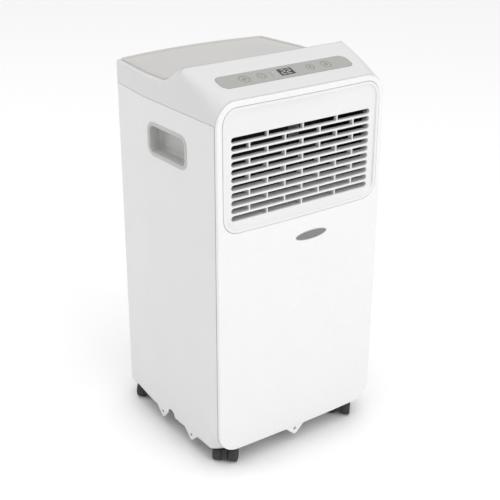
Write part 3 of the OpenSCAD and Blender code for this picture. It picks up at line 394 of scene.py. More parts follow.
def gauze(name, colour, pitch):
    """A woven filter mesh: two crossed sets of bands, along X and Z, drive bump and colour; between them it
    goes dark, painted shade in the weave's openings.
    """
    material = plastic(name, colour, 0.6)
    tree = material.node_tree
    both = tree.nodes.new("ShaderNodeMath")
    both.operation = "MAXIMUM"
    for i, direction in enumerate("XZ"):
        tree.links.new(bands(tree, direction, pitch), both.inputs[i])
    dark = [c * 0.1 for c in colour]
    shade_by(tree, both.outputs["Value"], (0.5, dark), (0.85, colour))
    bump = next(n for n in tree.nodes if n.type == "BUMP")
    bump.inputs["Distance"].default_value = pitch / 4
    tree.links.new(both.outputs["Value"], bump.inputs["Height"])
    return material


gloss_white = plastic("gloss_white", (0.8, 0.8, 0.797), 0.28, grain=0.00003, spread=0.008, coat=0.25)
grille_white = plastic("grille_white", (0.76, 0.76, 0.757), 0.34, grain=0.00004, spread=0.01, coat=0.1)
# the casings' white is darker than the front panel's white: painted shade for the sides, which face away from
# the light
side_white_painted_shade = plastic("side_white_painted_shade", (0.74, 0.74, 0.738), 0.45, grain=0.00012, spread=0.012)
# partly the cover's own grey-white, set darker still as painted shade on the top, which faces away from the
# front light
cover_grey_painted_shade = plastic("cover_grey_painted_shade", (0.66, 0.66, 0.658), 0.42, grain=0.00012, spread=0.012)
rear_satin = plastic("rear_satin", (0.76, 0.76, 0.758), 0.45, grain=0.00012, spread=0.012)
# partly the tray's own warm grey, set darker as painted shade on this upward face
tray_warm_painted_shade = plastic("tray_warm_painted_shade", (0.565, 0.558, 0.542), 0.38, grain=0.00008, spread=0.015)
strip_film = plastic("strip_film", (0.34, 0.34, 0.325), 0.32, grain=0.00003, spread=0.015, coat=0.2)
print_grey = plastic("print_grey", (0.13, 0.13, 0.125), 0.5, grain=0.00003, spread=0.02)
display_tint = plastic("display_tint", (0.03, 0.03, 0.03), 0.5, grain=0.00001, spread=0.05)
lit_white = glow("lit_white", (0.75, 0.76, 0.74), 0.1)
lens_milk = plastic("lens_milk", (0.72, 0.75, 0.7), 0.3, grain=0.00001)
badge_satin = metal("badge_satin", (0.45, 0.45, 0.45), 0.3, streak=(1, 1, 12), scale=500, spread=0.1)
badge_field = plastic("badge_field", (0.2, 0.2, 0.2), 0.4, grain=0.00004, spread=0.08)
cup_grey = plastic("cup_grey", (0.49, 0.49, 0.476), 0.42, grain=0.0001, spread=0.02)
lattice_grey = plastic("lattice_grey", (0.56, 0.56, 0.552), 0.5, grain=0.00008, spread=0.05)
duct_black = plastic("duct_black", (0.005, 0.005, 0.005), 0.9, grain=0.0001)
nylon_black = plastic("nylon_black", (0.018, 0.018, 0.018), 0.42, grain=0.00012, spread=0.1)
tread_black = plastic("tread_black", (0.03, 0.03, 0.03), 0.62, grain=0.0003, grain_scale=500, spread=0.15)
rubber_black = plastic("rubber_black", (0.02, 0.02, 0.02), 0.7, grain=0.0003, grain_scale=400, spread=0.1)
pan_zinc = plastic("pan_zinc", (0.12, 0.12, 0.125), 0.5, grain=0.0002, grain_scale=300, spread=0.1)
foam_white = plastic("foam_white", (0.7, 0.7, 0.69), 0.85, grain=0.0012, grain_scale=260, spread=0.05)
fan_black = plastic("fan_black", (0.03, 0.03, 0.032), 0.5)
deck_grey = plastic("deck_grey", (0.2, 0.2, 0.205), 0.5)
board_green = plastic("board_green", (0.02, 0.13, 0.05), 0.35, grain=0.0004, grain_scale=180, spread=0.4)
switch_white = plastic("switch_white", (0.7, 0.7, 0.68), 0.45)
compressor_black = plastic("compressor_black", (0.014, 0.014, 0.016), 0.3, grain=0.0004, grain_scale=220,
                           coat=0.3)
screw_zinc = metal("screw_zinc", (0.55, 0.55, 0.54), 0.35)
sheet_zinc = metal("sheet_zinc", (0.5, 0.5, 0.51), 0.42, streak=(1, 1, 6), scale=30)
copper_pipe = metal("copper_pipe", (0.72, 0.36, 0.2), 0.3, scale=40, spread=0.2)
coil_fins = finned("coil_fins", (0.75, 0.76, 0.77), 1.8 * MM)
filter_gauze = gauze("filter_gauze", (0.3, 0.31, 0.32), 1.6 * MM)

inside_finishes = {
    compressor_black: ["compressor", "accumulator"],
    rubber_black: ["compressor_grommets"],
    coil_fins: ["evaporator_coil", "condenser_coil"],
    foam_white: ["blower_scroll", "fan_scroll"],
    fan_black: ["blower_wheel", "fan_wheel"],
    deck_grey: ["middle_deck"],
    duct_black: ["outlet_duct"],
    copper_pipe: ["discharge_pipe", "suction_pipe", "capillary_tube"],
    board_green: ["main_board", "keypad_board"],
    switch_white: ["level_switch", "level_float", "splash_wheel"],
    sheet_zinc: ["blower_motor", "fan_motor", "control_box", "run_capacitor", "splash_motor",
                 "chassis_posts"],
}


def finish_inside():
    """The machinery keeps its own shapes and takes its finishes."""
    for material, names in inside_finishes.items():
        for name in names:
            nodes[name].data.materials.clear()
            nodes[name].data.materials.append(material)


# ---- front panel and grille ----

def front_depth(x, z):
    """The front's Y: a shallow parabola across the width plus a shallower one over the height."""
    middle = (panel_top + skirt) / 2
    tall = (panel_top - skirt) / 2
    return front + bow_across * (x / half_width) ** 2 + bow_upright * ((z - middle) / tall) ** 2


def on_front(flat, height, depth):
    """Places flat (x, z) points on the bowed front, sunk by a depth."""
    return upright(flat, front_depth(flat[..., 0], flat[..., 1] + height) + depth, height)


def between(first, last, steps):
    """Rows of points on straight lines from one row to another, ends left out."""
    t = np.linspace(0, 1, steps + 2)[1:-1, None, None]
    return first[None] * (1 - t) + last[None] * t


def make_front_panel():
    """A profile carried round the panel's edge, a face drawn in to the grille opening, and a lip there.

    The face lies a hair behind the bowed front, so that the badge stands proud of it.
    """
    middle = (panel_top + skirt) / 2
    behind_badge = 0.3 * MM
    grille_gap = 1.0 * MM
    outer = Outline(2 * half_width, panel_top - skirt, corner_radius, 30, 14, 40)
    hole = Outline(grille_high.x - grille_low.x + grille_gap, grille_high.z - grille_low.z + grille_gap,
                   28.5 * MM, 30, 14, 40)
    hole_middle = (grille_low.z + grille_high.z) / 2
    inset, depth = fillet(2.6 * MM, 8)
    edge = on_front(outer.at(inset), middle, depth[:, None] + behind_badge)
    behind = wall + 0.4 * MM
    groove = casing_front - 0.15 * MM
    back = outer.at([behind, behind, 1.2 * MM, 1.2 * MM, 0.5 * MM, 0.1 * MM, 0])
    back_y = np.array([nest_back, groove, groove, panel_back, panel_back, panel_back - 0.1 * MM,
                       panel_back - 0.5 * MM])
    back = upright(back, back_y[:, None], middle)
    turn = np.linspace(0, math.pi / 2, 6)
    lip_radius = 1.4 * MM
    lip = on_front(hole.at(-lip_radius * (1 - np.sin(turn))), hole_middle,
                   (behind_badge + lip_radius * (1 - np.cos(turn)))[:, None])
    drop = on_front(hole.at([0, 0]), hole_middle, np.array([3, 7])[:, None] * MM)
    face = between(edge[-1], lip[0], 34)
    face[..., 1] = front_depth(face[..., 0], face[..., 2]) + behind_badge
    rows = np.concatenate([back, edge, face, lip, drop])
    return make_piece("front_panel_shell", [sleeve(rows)], gloss_white, "cabinet", "front_white",
                      ["front_panel"], sharp=50)


class Slot:
    """A slot's outline, with corners of its own radius at each end, and the cell's rectangle round it."""

    corner = 8

    def __init__(self, x0, x1, z0, z1, left, right, cell):
        corners = [(x1, z1, right, 0), (x0, z1, left, 90), (x0, z0, left, 180), (x1, z0, right, 270)]
        signs = [(1, 1), (-1, 1), (-1, -1), (1, -1)]
        base, normal, radius, border = [], [], [], []
        cx0, cx1, cz0, cz1 = cell
        cell_corner = [(cx1, cz1), (cx0, cz1), (cx0, cz0), (cx1, cz0)]
        for (x, z, r, turn), (sx, sz), far in zip(corners, signs, cell_corner):
            centre = np.array([x - sx * r, z - sz * r])
            base.append(np.tile(centre, (self.corner + 1, 1)))
            normal.append(circle_points(self.corner + 1, turn, turn + 90))
            radius.append(np.full(self.corner + 1, r))
            t = np.linspace(0, 2, self.corner + 1)[:, None]
            flat_a = np.array([far[0], centre[1]]) if turn % 180 == 0 else np.array([centre[0], far[1]])
            flat_b = np.array([centre[0], far[1]]) if turn % 180 == 0 else np.array([far[0], centre[1]])
            far = np.array(far)
            border.append(np.where(t < 1, flat_a + (far - flat_a) * t, far + (flat_b - far) * (t - 1)))
        self.base, self.normal = np.concatenate(base), np.concatenate(normal)
        self.radius, self.border = np.concatenate(radius)[:, None], np.concatenate(border)

    def at(self, inset):
        """The slot's outline drawn in by an inset."""
        return self.base + self.normal * np.maximum(self.radius - inset, 0)


def slot_cells(grow=0.0):
    """Every slot of the brick pattern: odd rows start with a half slot, and row ends are round."""
    step = slot_span / 4
    field_edge = slot_span / 2 + slot_margin
    for row in range(slot_rows):
        z = slot_base + row * slot_pitch
        cuts = np.array([-2, -1.5, -0.5, 0.5, 1.5, 2]) if row % 2 else np.array([-2.0, -1, 0, 1, 2])
        for i in range(len(cuts) - 1):
            first, last = i == 0, i == len(cuts) - 2
            x0 = cuts[i] * step + (0 if first else slot_bar / 2) - grow
            x1 = cuts[i + 1] * step - (0 if last else slot_bar / 2) + grow
            cell = (-field_edge if first else cuts[i] * step, field_edge if last else cuts[i + 1] * step,
                    z - slot_pitch / 2, z + slot_pitch / 2)
            round_end, square_end = slot_height / 2 - 0.01 * MM, 0.9 * MM
            yield Slot(x0, x1, z - slot_height / 2 - grow, z + slot_height / 2 + grow,
                       round_end if first else square_end, round_end if last else square_end, cell)


def slot_walls(y_face, y_back, rounding, grow=0.0, close_back=False):
    """Each cell's flat border, a round front edge and the slot's wall back to a depth that varies with Z."""
    turn = np.linspace(0, math.pi / 2, 5)
    insets = rounding * (np.sin(turn) - 1)
    front_ys = np.r_[y_face, y_face + rounding * (1 - np.cos(turn))]
    parts = []
    for slot in slot_cells(grow):
        rows = [slot.border] + [slot.at(i) for i in insets] + [slot.at(0)]
        if close_back:
            rows.append(slot.border)
        flat = np.stack(rows)
        y = np.empty(flat.shape[:2])
        y[:len(front_ys)] = front_ys[:, None]
        y[len(front_ys):] = y_back(flat[len(front_ys):, :, 1])
        parts.append(sleeve(upright(flat, y)))
    return parts


def slot_field(side, corner):
    """The rectangle that holds all the cells, an outline with nearly sharp corners, and its middle."""
    low = slot_base - slot_pitch / 2
    high = slot_base + (slot_rows - 0.5) * slot_pitch
    field = Outline(slot_span + 2 * slot_margin, high - low, 0.001 * MM, side, corner, side).at(0)[0]
    return field, (low + high) / 2


def make_front_grille():
    """A rim carried round the frame, sides that fall to the slotted face, and the slots themselves."""
    middle = (grille_low.z + grille_high.z) / 2
    frame_line = Outline(grille_high.x - grille_low.x, grille_high.z - grille_low.z, 28 * MM, 30, 14, 30)
    inset, depth = fillet(1.3 * MM, 6)
    sunk = 0.15 * MM
    outer = on_front(frame_line.at(np.r_[0, inset]), middle, np.r_[6 * MM, depth][:, None] + sunk)
    crown = on_front(frame_line.at([2.2 * MM, 3.6 * MM]), middle, np.array([[0.0], [0.1 * MM]]))
    turn = np.linspace(0, math.pi / 2, 6)[1:]
    shoulder = on_front(frame_line.at(4.4 * MM + 1.1 * MM * np.sin(turn)), middle,
                        (sunk + 1.1 * MM * (1 - np.cos(turn)))[:, None])
    # the sides fall steeply, apart from the lower one, which is a long ledge
    lower = np.clip(-frame_line.normal[:, 1], 0, 1)
    run = 1.3 * MM + 6.5 * MM * smooth(lower * 1.2)
    t = np.linspace(0, 1, 9)[1:, None]
    flat = frame_line.at(5.5 * MM + run[None, :] * t)
    top_edge = shoulder[-1][:, 1]
    walls = upright(flat, top_edge + (grille_face - top_edge) * smooth(t ** 0.8), middle)
    field, field_middle = slot_field(30, 14)
    field = upright(field, grille_face, field_middle)
    rows = np.concatenate([outer, crown, shoulder, walls, between(walls[-1], field, 2), field[None]])
    parts = [sleeve(rows)] + slot_walls(grille_face, lambda z: lattice_front + 0 * z, 0.7 * MM)
    return make_piece("front_grille_face", parts, grille_white, "cabinet", "grille_white", ["front_grille"],
                      sharp=40)


def slat_back(z):
    """The slats' back edge: full depth at the lowest row, leaning forward to 4 mm at the top row."""
    low = slot_base - slot_height / 2
    t = np.clip((z - low) / ((slot_rows - 1) * slot_pitch + slot_height), 0, 1)
    return lattice_back + (lattice_front + 4 * MM - lattice_back) * t


def make_lattice():
    """Slats and uprights behind the slots, as deep as the lattice, with a plate round them."""
    face = lattice_front + 0.02 * MM
    parts = slot_walls(face, slat_back, 0.3 * MM, -0.15 * MM, close_back=True)
    middle = (grille_low.z + grille_high.z) / 2
    plate = Outline(lattice_high.x - lattice_low.x, lattice_high.z - lattice_low.z, 22 * MM, 12, 8, 12)
    edge = plate.at(0)[0]
    field, field_middle = slot_field(12, 8)
    field[:, 1] += field_middle - middle
    loops = [(field, face), (edge, face), (edge, lattice_back), (field, lattice_back),
             (field, slat_back(field[:, 1] + middle))]
    parts.append(sleeve(np.stack([upright(flat, y, middle) for flat, y in loops])))
    return make_piece("grille_lattice_slats", parts, lattice_grey, "cabinet", "lattice_grey",
                      ["grille_lattice"])


def make_badge():
    """A blank elliptical badge: a raised satin border round a darker, slightly domed field."""
    middle = (badge_low.z + badge_high.z) / 2
    across = (badge_low.x + badge_high.x) / 2
    half = np.array([badge_high.x - badge_low.x, badge_high.z - badge_low.z]) / 2
    circle = circle_points(96)

    def rows_of(insets, depths):
        flat = circle[None] * np.maximum(half[None] - np.asarray(insets)[:, None] * MM, 0)[:, None, :]
        flat[..., 0] += across
        return on_front(flat, middle, np.asarray(depths, float)[:, None] * MM)

    border = rows_of([0, 0, 0.25, 0.8, 1.3, 1.6], [1.1, 0.3, 0.05, 0.0, 0.05, 0.22])
    make_piece("badge_border", [sleeve(border)], badge_satin,
               "cabinet", "badge_grey", ["badge"])
    reach = np.linspace(1.6, half[1] / MM, 8)
    field = rows_of(reach, 0.22 - 0.12 * smooth((reach - 1.6) / 5))
    make_piece("badge_field", [sleeve(field)], badge_field,
               "cabinet", "badge_grey")


# ---- top cover, tray and strip ----

def rise(y):
    """How far the top has climbed from the rear deck (0) to the hump (1): t to the power 1.6, smoothed."""
    t = np.clip((curve_start - y) / (curve_start - crest), 0, 1)
    return smooth(t ** 1.6)


def top_height(y):
    """Height of the top along Y: deck, S-curve up to the crest, then the straight slope to the front."""
    y = np.asarray(y, float)
    climb = deck_height + (hump_height - deck_height) * rise(y)
    return np.where(y < crest, hump_height - (crest - y) * math.tan(slope), climb)


def plan_path(y0, straight, back=40):
    """Half of the cabinet's outline from (half width, y0) to the middle of the rear, as points and normals.

    A straight side, a side that tapers in past the crease, a round rear corner and a wide rear arc.
    """
    taper, corner = 14, 10
    a = np.array([half_width, crease])
    b = np.array([rear_half_width, rear_corner])
    along = (b - a) / np.linalg.norm(b - a)
    out = np.array([along[1], -along[0]])
    arc_middle = np.array([0, rear - rear_arc_radius])
    start = a - out * rear_corner_radius - arc_middle
    reach = rear_arc_radius - rear_corner_radius
    dot = start @ along
    t = -dot + math.sqrt(dot * dot - start @ start + reach * reach)
    centre = a - out * rear_corner_radius + along * t
    first = math.atan2(out[1], out[0])
    last = math.atan2(*(centre - arc_middle)[::-1])
    turn = np.linspace(first, last, corner + 1)
    corner_normal = np.stack([np.cos(turn), np.sin(turn)], 1)
    corner_points = centre + rear_corner_radius * corner_normal
    back_turn = np.linspace(last, math.pi / 2, back + 1)[1:]
    back_normal = np.stack([np.cos(back_turn), np.sin(back_turn)], 1)
    side_y = np.linspace(y0, crease, straight + 1)
    side = np.stack([np.full(straight + 1, half_width), side_y], 1)
    step = np.linspace(0, 1, taper + 1)[1:-1, None]
    points = np.concatenate([side, a + (corner_points[0] - a) * step, corner_points,
                             arc_middle + rear_arc_radius * back_normal])
    normals = np.concatenate([np.tile([1.0, 0.0], (straight + 1, 1)), np.tile(out, (taper - 1, 1)),
                              corner_normal, back_normal])
    return points, normals


def whole_path(y0, straight):
    """Both halves of the outline joined, from the right side round the rear to the left side."""
    return [np.concatenate([half, half[-2::-1] * [-1, 1]]) for half in plan_path(y0, straight)]


def ridge_radius(y):
    """The rounding of the hump's side edges: small at the rear deck, growing to the front corner's radius."""
    deck_ridge, hump_ridge = 3 * MM, 12 * MM
    behind = deck_ridge + (hump_ridge - deck_ridge) * rise(y)
    ahead = np.clip((crest - y) / (crest - cover_front), 0, 1)
    return behind + (corner_radius - hump_ridge) * ahead ** 1.7


def hump_section(y, inset):
    """Cross-sections at each Y: up a side wall, round the ridge, across the top and down the other side.

    Each is drawn in by its inset. A column of points runs along the end of the strip's recess.
    """
    side_steps, top_steps = 10, 60
    y = y[:, None]
    inset = inset[:, None]
    top = top_height(y) - inset
    radius = np.minimum(ridge_radius(y), top_height(y) - seam_height - 1.5 * MM) - inset
    half = half_width - inset
    t = np.linspace(0, 1, 6)[None, :]
    wall_z = cover_base + (top - radius - cover_base) * t
    wall_x = half + 0 * wall_z
    turn = np.linspace(0, math.pi / 2, side_steps + 1)[None, 1:]
    round_x = half - radius * (1 - np.cos(turn))
    round_z = top - radius * (1 - np.sin(turn))
    end = np.minimum(half - radius - 1 * MM, recess_reach)
    across = np.linspace(1, 0, top_steps // 2)[None, :]
    flat_x = np.concatenate([(half - radius + end) / 2, end * across], 1)
    flat_z = top + 0 * flat_x
    x = np.concatenate([wall_x, round_x, flat_x], 1)
    z = np.concatenate([wall_z, round_z, flat_z], 1)
    x = np.concatenate([x, -x[:, -2::-1]], 1)
    z = np.concatenate([z, z[:, -2::-1]], 1)
    return np.stack([x, np.broadcast_to(y, x.shape), z], -1)


def on_slope(u, v, w):
    """A point on the slope: u across, v up the slope from the strip's middle, w out of it."""
    down = v - strip_down
    y = crest + down * math.cos(slope) - w * math.sin(slope)
    z = hump_height + down * math.sin(slope) + w * math.cos(slope)
    return np.stack([u + 0 * y, y, z], -1)


def slope_rows(outline, insets, lifts):
    """Rows of an outline laid on the slope, each drawn in by its inset and lifted by its height."""
    flat = outline.at(insets)
    return on_slope(flat[..., 0], flat[..., 1], np.asarray(lifts, float)[:, None])


strip_length = strip_high.x - strip_low.x
strip_outline = Outline(strip_length, strip_width, 13 * MM, 60, 12, 6)


def cover_slope(y_end):
    """Sections across the hump from the front edge to a Y, without the quads over the strip's recess.

    The crest is softened: a bell curve 2.6 mm wide takes up to 0.5 mm off its height.
    """
    y_low = crest + (recess_low - strip_down) * math.cos(slope)
    y_high = crest + (recess_high - strip_down) * math.cos(slope)
    before_crest = crest - 5 * MM
    lip = cover_front + np.array([0, 0, 0.02, 0.25, 0.75]) * MM
    lip_inset = np.array([5, 0.7, 0.6, 0.2]) * MM
    y = np.concatenate([lip, np.linspace(cover_front, y_low, 7)[1:], np.linspace(y_low, y_high, 13)[1:-1],
                        np.linspace(y_high, before_crest, 5), np.linspace(before_crest, y_end, 7)[1:]])
    points = hump_section(y, np.r_[lip_inset, np.zeros(len(y) - len(lip_inset))])
    soften = 0.5 * MM * np.exp(-((y - crest) / (2.6 * MM)) ** 2)
    on_top = np.abs(points[..., 0]) < half_width - 1e-6
    points[..., 2] -= soften[:, None] * on_top
    points[..., 2] = np.minimum(points[..., 2], hump_height - 0.02 * MM)
    quads = grid_faces(*points.shape[:2])
    centre = points.reshape(-1, 3)[quads].mean(1)
    inside = (centre[:, 1] > y_low) & (centre[:, 1] < y_high) & (np.abs(centre[:, 0]) < recess_reach)
    return points, quads[~inside]


def cover_recess():
    """The flat ring round the strip's recess, its round lip, and its wall."""
    lip = slope_rows(strip_outline, np.array([-4.2, -3.6, -2.6, -1.6, -0.9]) * MM,
                     np.array([0.0, -0.02, -0.12, -0.3, -0.45]) * MM)
    drop = slope_rows(strip_outline, np.array([-0.55, -0.5, -0.5]) * MM, np.array([-0.62, -1.0, -3.0]) * MM)
    border = strip_outline.pushed_out([-recess_reach, recess_low], [recess_reach, recess_high])
    outer = on_slope(border[:, 0], border[:, 1], np.zeros(len(border)))
    return sleeve(np.concatenate([outer[None], between(outer, lip[0], 3), lip, drop]))


def cover_margin(y_start):
    """The wall, the ridge and the margin round the tray, carried round the plan from a Y to the rear."""
    path, normal = whole_path(y_start, 60)
    top = top_height(np.maximum(path[:, 1], y_start))
    radius = ridge_radius(path[:, 1])
    rows = [np.c_[path, cover_base + (top - radius - cover_base) * t] for t in np.linspace(0, 1, 4)]
    for turn in np.linspace(0, math.pi / 2, 9)[1:]:
        inset = radius * (1 - math.cos(turn))
        rows.append(np.c_[path - normal * inset[:, None], top - radius * (1 - math.sin(turn))])
    reach = np.maximum(tray_margin - 0.35 * MM, radius)
    for t in (0.5, 1.0):
        inset = radius + (reach - radius) * t
        rows.append(np.c_[path - normal * inset[:, None], top])
    edge = rows[-1][:, :2] - normal * 0.15 * MM
    rows += [np.c_[edge, top - 0.15 * MM], np.c_[edge, top - 2.2 * MM]]
    rows = np.stack(rows)
    rows[..., 1] = np.maximum(rows[..., 1], y_start)
    return sheet(rows)


def make_top_cover():
    """The slope with the strip's recess, the margin round the tray, and the step down behind the crest."""
    tray_front = crest + 1 * MM
    cross = np.linspace(-half_width + 12 * MM, half_width - 12 * MM, 30)
    line = np.stack([cross, 0 * cross], 1)
    step = np.stack([upright(line, tray_front, hump_height - drop) for drop in (0.4 * MM, 2.4 * MM)])
    parts = [cover_slope(tray_front), cover_recess(), cover_margin(tray_front), sheet(step)]
    return make_piece("top_cover_skin", parts, cover_grey_painted_shade, "cabinet", "cover_grey_white", ["top_cover"],
                      sharp=42, merge=1e-5)


def make_top_tray():
    """A plan grid from the hump round to the rear, shaped as the S-curve and deck with a soft raised rim.

    The distance to the tray's edge sets the height: a steep outer side, a round crown, a fall to the floor.
    """
    y0 = crest + 1.4 * MM
    path, normal = whole_path(y0, 70)
    floor_sunk = 0.3 * MM
    reach = np.array([0, 0, 0.25, 0.8, 1.6, 2.4, 3.1, 3.6, 4.0, 4.4, 4.8]) * MM
    crown = np.array([-2.0, 2.6, 3.4, 3.75, 3.8, 3.6, 2.9, 1.9, 0.9, 0.25, 0]) * MM
    rows = []
    for inset, lift in zip(reach, crown):
        place = path - normal * (tray_margin + inset)
        high = 1 - rise(place[:, 1])
        extra = max(lift, 0) * high - floor_sunk * (1 - high) + min(lift, 0)
        rows.append(np.c_[place, top_height(np.maximum(place[:, 1], y0)) + extra])
    rows = np.stack(rows)
    half = (rows.shape[1] + 1) // 2
    right, left = rows[-1, :half], rows[-1, ::-1][:half]
    across = np.linspace(0, 1, 28)[:, None, None]
    floor = right[None] * (1 - across) + left[None] * across
    floor[..., 2] = top_height(np.maximum(floor[..., 1], y0)) - floor_sunk * rise(floor[..., 1])
    parts = [sheet(rows), sheet(floor)]
    return make_piece("top_tray_skin", parts, tray_warm_painted_shade, "cabinet", "tray_grey", ["top_tray"],
                      sharp=50, merge=1e-5)


def round_hole_cell(x, radius, x0, x1):
    """A rectangular cell of the strip with a round hole in it and the hole's wall."""
    depth = 1.2 * MM
    circle = circle_points(48)
    square = circle / np.abs(circle).max(1)[:, None]
    reach = np.where(square[:, 0] > 0, x1 - x, x - x0)
    outer = np.stack([reach * square[:, 0] + x, strip_flat_half * square[:, 1]], 1)
    inner = circle * radius + [x, 0]
    rows = np.stack([outer, (outer + inner) / 2, inner, inner, inner])
    lift = np.array([0, 0, 0, -0.2 * MM, -depth])[:, None] + strip_top
    return sleeve(on_slope(rows[..., 0], rows[..., 1], lift))


def make_strip():
    """The strip's rounded edge and a face split into cells: plain ones, and ones with a hole in them.

    Every button's cell reaches 4 mm past its key; the display's cell fills the middle.
    """
    rim = 3 * MM
    inset = np.array([0, 0, 0.08, 0.3, 0.6, 3.0]) * MM
    lift = np.array([-1.2, -0.3, -0.1, -0.02, 0, 0]) * MM + strip_top
    parts = [sleeve(slope_rows(strip_outline, inset, lift))]
    reach = strip_length / 2 - rim - 10 * MM
    half = strip_flat_half
    edges = [-reach]
    for x, radius in key_places.values():
        x0, x1 = x - radius - 4 * MM, x + radius + 4 * MM
        parts.append(round_hole_cell(x, radius + key_gap, x0, x1))
        edges += [x0, x1]
    edges.append(reach)
    # the gaps between the buttons' cells are plain, apart from the middle one, which holds the display
    plain_gaps = (0, 2, 6, 8)
    display_gap = 4
    for i in plain_gaps:
        xs, vs = np.meshgrid(np.linspace(edges[i], edges[i + 1], 4), np.linspace(-half, half, 4))
        parts.append(sheet(on_slope(xs, vs, strip_top)))
    window = Outline(29.4 * MM, 19.4 * MM, 0.8 * MM, 20, 4, 12)
    outer = window.pushed_out([edges[display_gap], -half], [edges[display_gap + 1], half])
    inner = window.at(0)[0]
    ring = np.stack([outer, (outer + inner) / 2, inner, inner])
    lifts = np.array([0, 0, 0, -1.2 * MM])[:, None] + strip_top
    parts.append(sleeve(on_slope(ring[..., 0], ring[..., 1], lifts)))
    flat_edge = strip_outline.at(rim)[0]
    for side in (-1, 1):
        end = flat_edge[side * flat_edge[:, 0] > reach - 1e-9]
        end = end[np.argsort(end[:, 1])]
        line = np.stack([np.full(len(end), side * reach), np.clip(end[:, 1], -half, half)], 1)
        fan = np.stack([end, line])
        parts.append(sheet(on_slope(fan[..., 0], fan[..., 1], strip_top)))
    return make_piece("control_strip_film", parts, strip_film, "cabinet", "strip_grey", ["control_strip"],
                      sharp=40, merge=1e-5)


def raised_shape(loops, lift, height):
    """Thin printed shapes: each loop of (u, v) rows is a ring, raised a hair above the face under it."""
    parts = []
    for rows in loops:
        rows = np.asarray(rows)
        closed = np.concatenate([rows[:1], rows, rows[-1:]])
        lifts = np.r_[lift - height, np.full(len(rows), lift + height), lift - height][:, None]
        parts.append(sleeve(on_slope(closed[..., 0], closed[..., 1], lifts)))
    return parts


def ring_mark(x, v, radius, width, first=0, last=360):
    """A round stroke: a ring's two edges or, for an arc, the line round its band and its middle line."""
    circle = circle_points(40, first, last)
    outer = circle * (radius + width / 2) + [x, v]
    inner = circle * (radius - width / 2) + [x, v]
    if last - first >= 360:
        return [outer, inner]
    middle = circle * radius + [x, v]
    return [np.concatenate([outer, inner[::-1]]), np.concatenate([middle, middle[::-1]])]


def bar_mark(x, v, length, width, turn=0):
    """A straight stroke with a size and a turn in degrees."""
    a = math.radians(turn)
    along, across = np.array([math.cos(a), math.sin(a)]), np.array([-math.sin(a), math.cos(a)])
    signs = np.array([[1, 1], [-1, 1], [-1, -1], [1, -1]]) * [length / 2, width / 2]
    outer = signs[:, :1] * along + signs[:, 1:] * across + [x, v]
    core = outer * 0.02 + np.array([x, v]) * 0.98
    return [outer, core]


def make_button(name, icon):
    """A flush round key: a wall, a small round edge and a slightly dished top, with its printed mark."""
    x, radius = key_places[name]
    inset = np.array([0, 0, 0.05, 0.2, 0.4, 2.0, 4.0, radius / MM - 0.05]) * MM
    lift = np.array([-5.0, -0.35, -0.12, -0.02, 0, -0.08, -0.14, -0.18]) * MM + strip_top
    flat = circle_points(48)[None] * (radius - inset)[:, None, None] + [x, 0]
    rows = on_slope(flat[..., 0], flat[..., 1], lift[:, None])
    cap = np.arange(47, -1, -1)[None]
    make_piece(name + "_key", [sleeve(rows), (rows[-1], cap)], strip_film, name, "button_grey", [name],
               sharp=40)
    outline = ring_mark(x, 0, radius - 1.4 * MM, 0.6 * MM)
    ring = raised_shape([outline] + icon, strip_top - 0.08 * MM, 0.1 * MM)
    make_piece(name + "_mark", ring, print_grey, name, "button_grey")


def make_buttons():
    """Generic marks: a broken ring with a bar for power, a minus, a plus, and a ring round a bar for mode."""
    bold = 0.8 * MM
    power, minus, plus, mode = [x for x, radius in key_places.values()]
    make_button("power_button", [ring_mark(power, -0.3 * MM, 2.9 * MM, bold, 120, 420),
                                 bar_mark(power, 1.9 * MM, 3.2 * MM, bold, 90)])
    make_button("minus_button", [bar_mark(minus, 0, 4.4 * MM, bold)])
    make_button("plus_button", [bar_mark(plus, 0, 4.8 * MM, bold),
                                bar_mark(plus, 1.5 * MM, 1.8 * MM, bold, 90),
                                bar_mark(plus, -1.5 * MM, 1.8 * MM, bold, 90)])
    make_button("mode_button", [ring_mark(mode, 0, 3.0 * MM, bold), bar_mark(mode, 0, 2.4 * MM, bold, 90)])


def make_display():
    """A tinted window with a round edge, two seven-segment digits on it, and two small lamps beside it."""
    window = Outline(29 * MM, 19 * MM, 0.7 * MM, 20, 4, 12)
    insets = np.array([0, 0, 0.06, 0.2, 0.5, 5.0, 9.45]) * MM
    lifts = np.array([-1.2, -0.2, -0.06, -0.01, 0, 0, 0]) * MM + strip_top
    make_piece("display_glass", [sleeve(slope_rows(window, insets, lifts))], display_tint,
               "cabinet", "display_dark", ["display_window"], sharp=40, merge=3e-5)
    tall, wide, lean, stroke = 6.0 * MM, 6.4 * MM, 0.12, 0.95 * MM
    post_x, post = wide / 2 + 0.5 * MM, tall - 1.2 * MM
    two = [(0, tall, wide, 0), (post_x, tall / 2, post, 90), (0, 0, wide, 0),
           (-post_x, -tall / 2, post, 90), (0, -tall, wide, 0)]
    strokes = [bar_mark(centre + x + lean * v, v, length, stroke, turn)
               for centre in (-5.4 * MM, 5.4 * MM) for x, v, length, turn in two]
    make_piece("display_digits", raised_shape(strokes, strip_top, 0.06 * MM), lit_white,
               "cabinet", "display_dark")
    lamp_x, sign_x, lamp_v = -23 * MM, -30.5 * MM, 5 * MM
    lamps = []
    for v in (-lamp_v, lamp_v):
        inset = np.array([0, 0, 0.2, 0.6, 1.0, 1.45]) * MM
        lift = np.array([-3, -0.15, -0.03, 0, 0.02, 0.03]) * MM + strip_top
        flat = circle_points(24)[None] * (1.5 * MM - inset)[:, None, None] + [lamp_x, v]
        lamps.append(sleeve(on_slope(flat[..., 0], flat[..., 1], lift[:, None])))
    signs = [bar_mark(sign_x, v, 3.4 * MM, 0.9 * MM, turn)
             for v, turn in ((-lamp_v, 0), (0, 30), (lamp_v, 0))]
    make_piece("lamp_signs", raised_shape(signs, strip_top, 0.05 * MM), print_grey, "cabinet", "strip_grey")
    make_piece("lamp_lenses", lamps, lens_milk, "cabinet", "lens", ["indicator_lenses"], sharp=60)


# ---- side casings ----

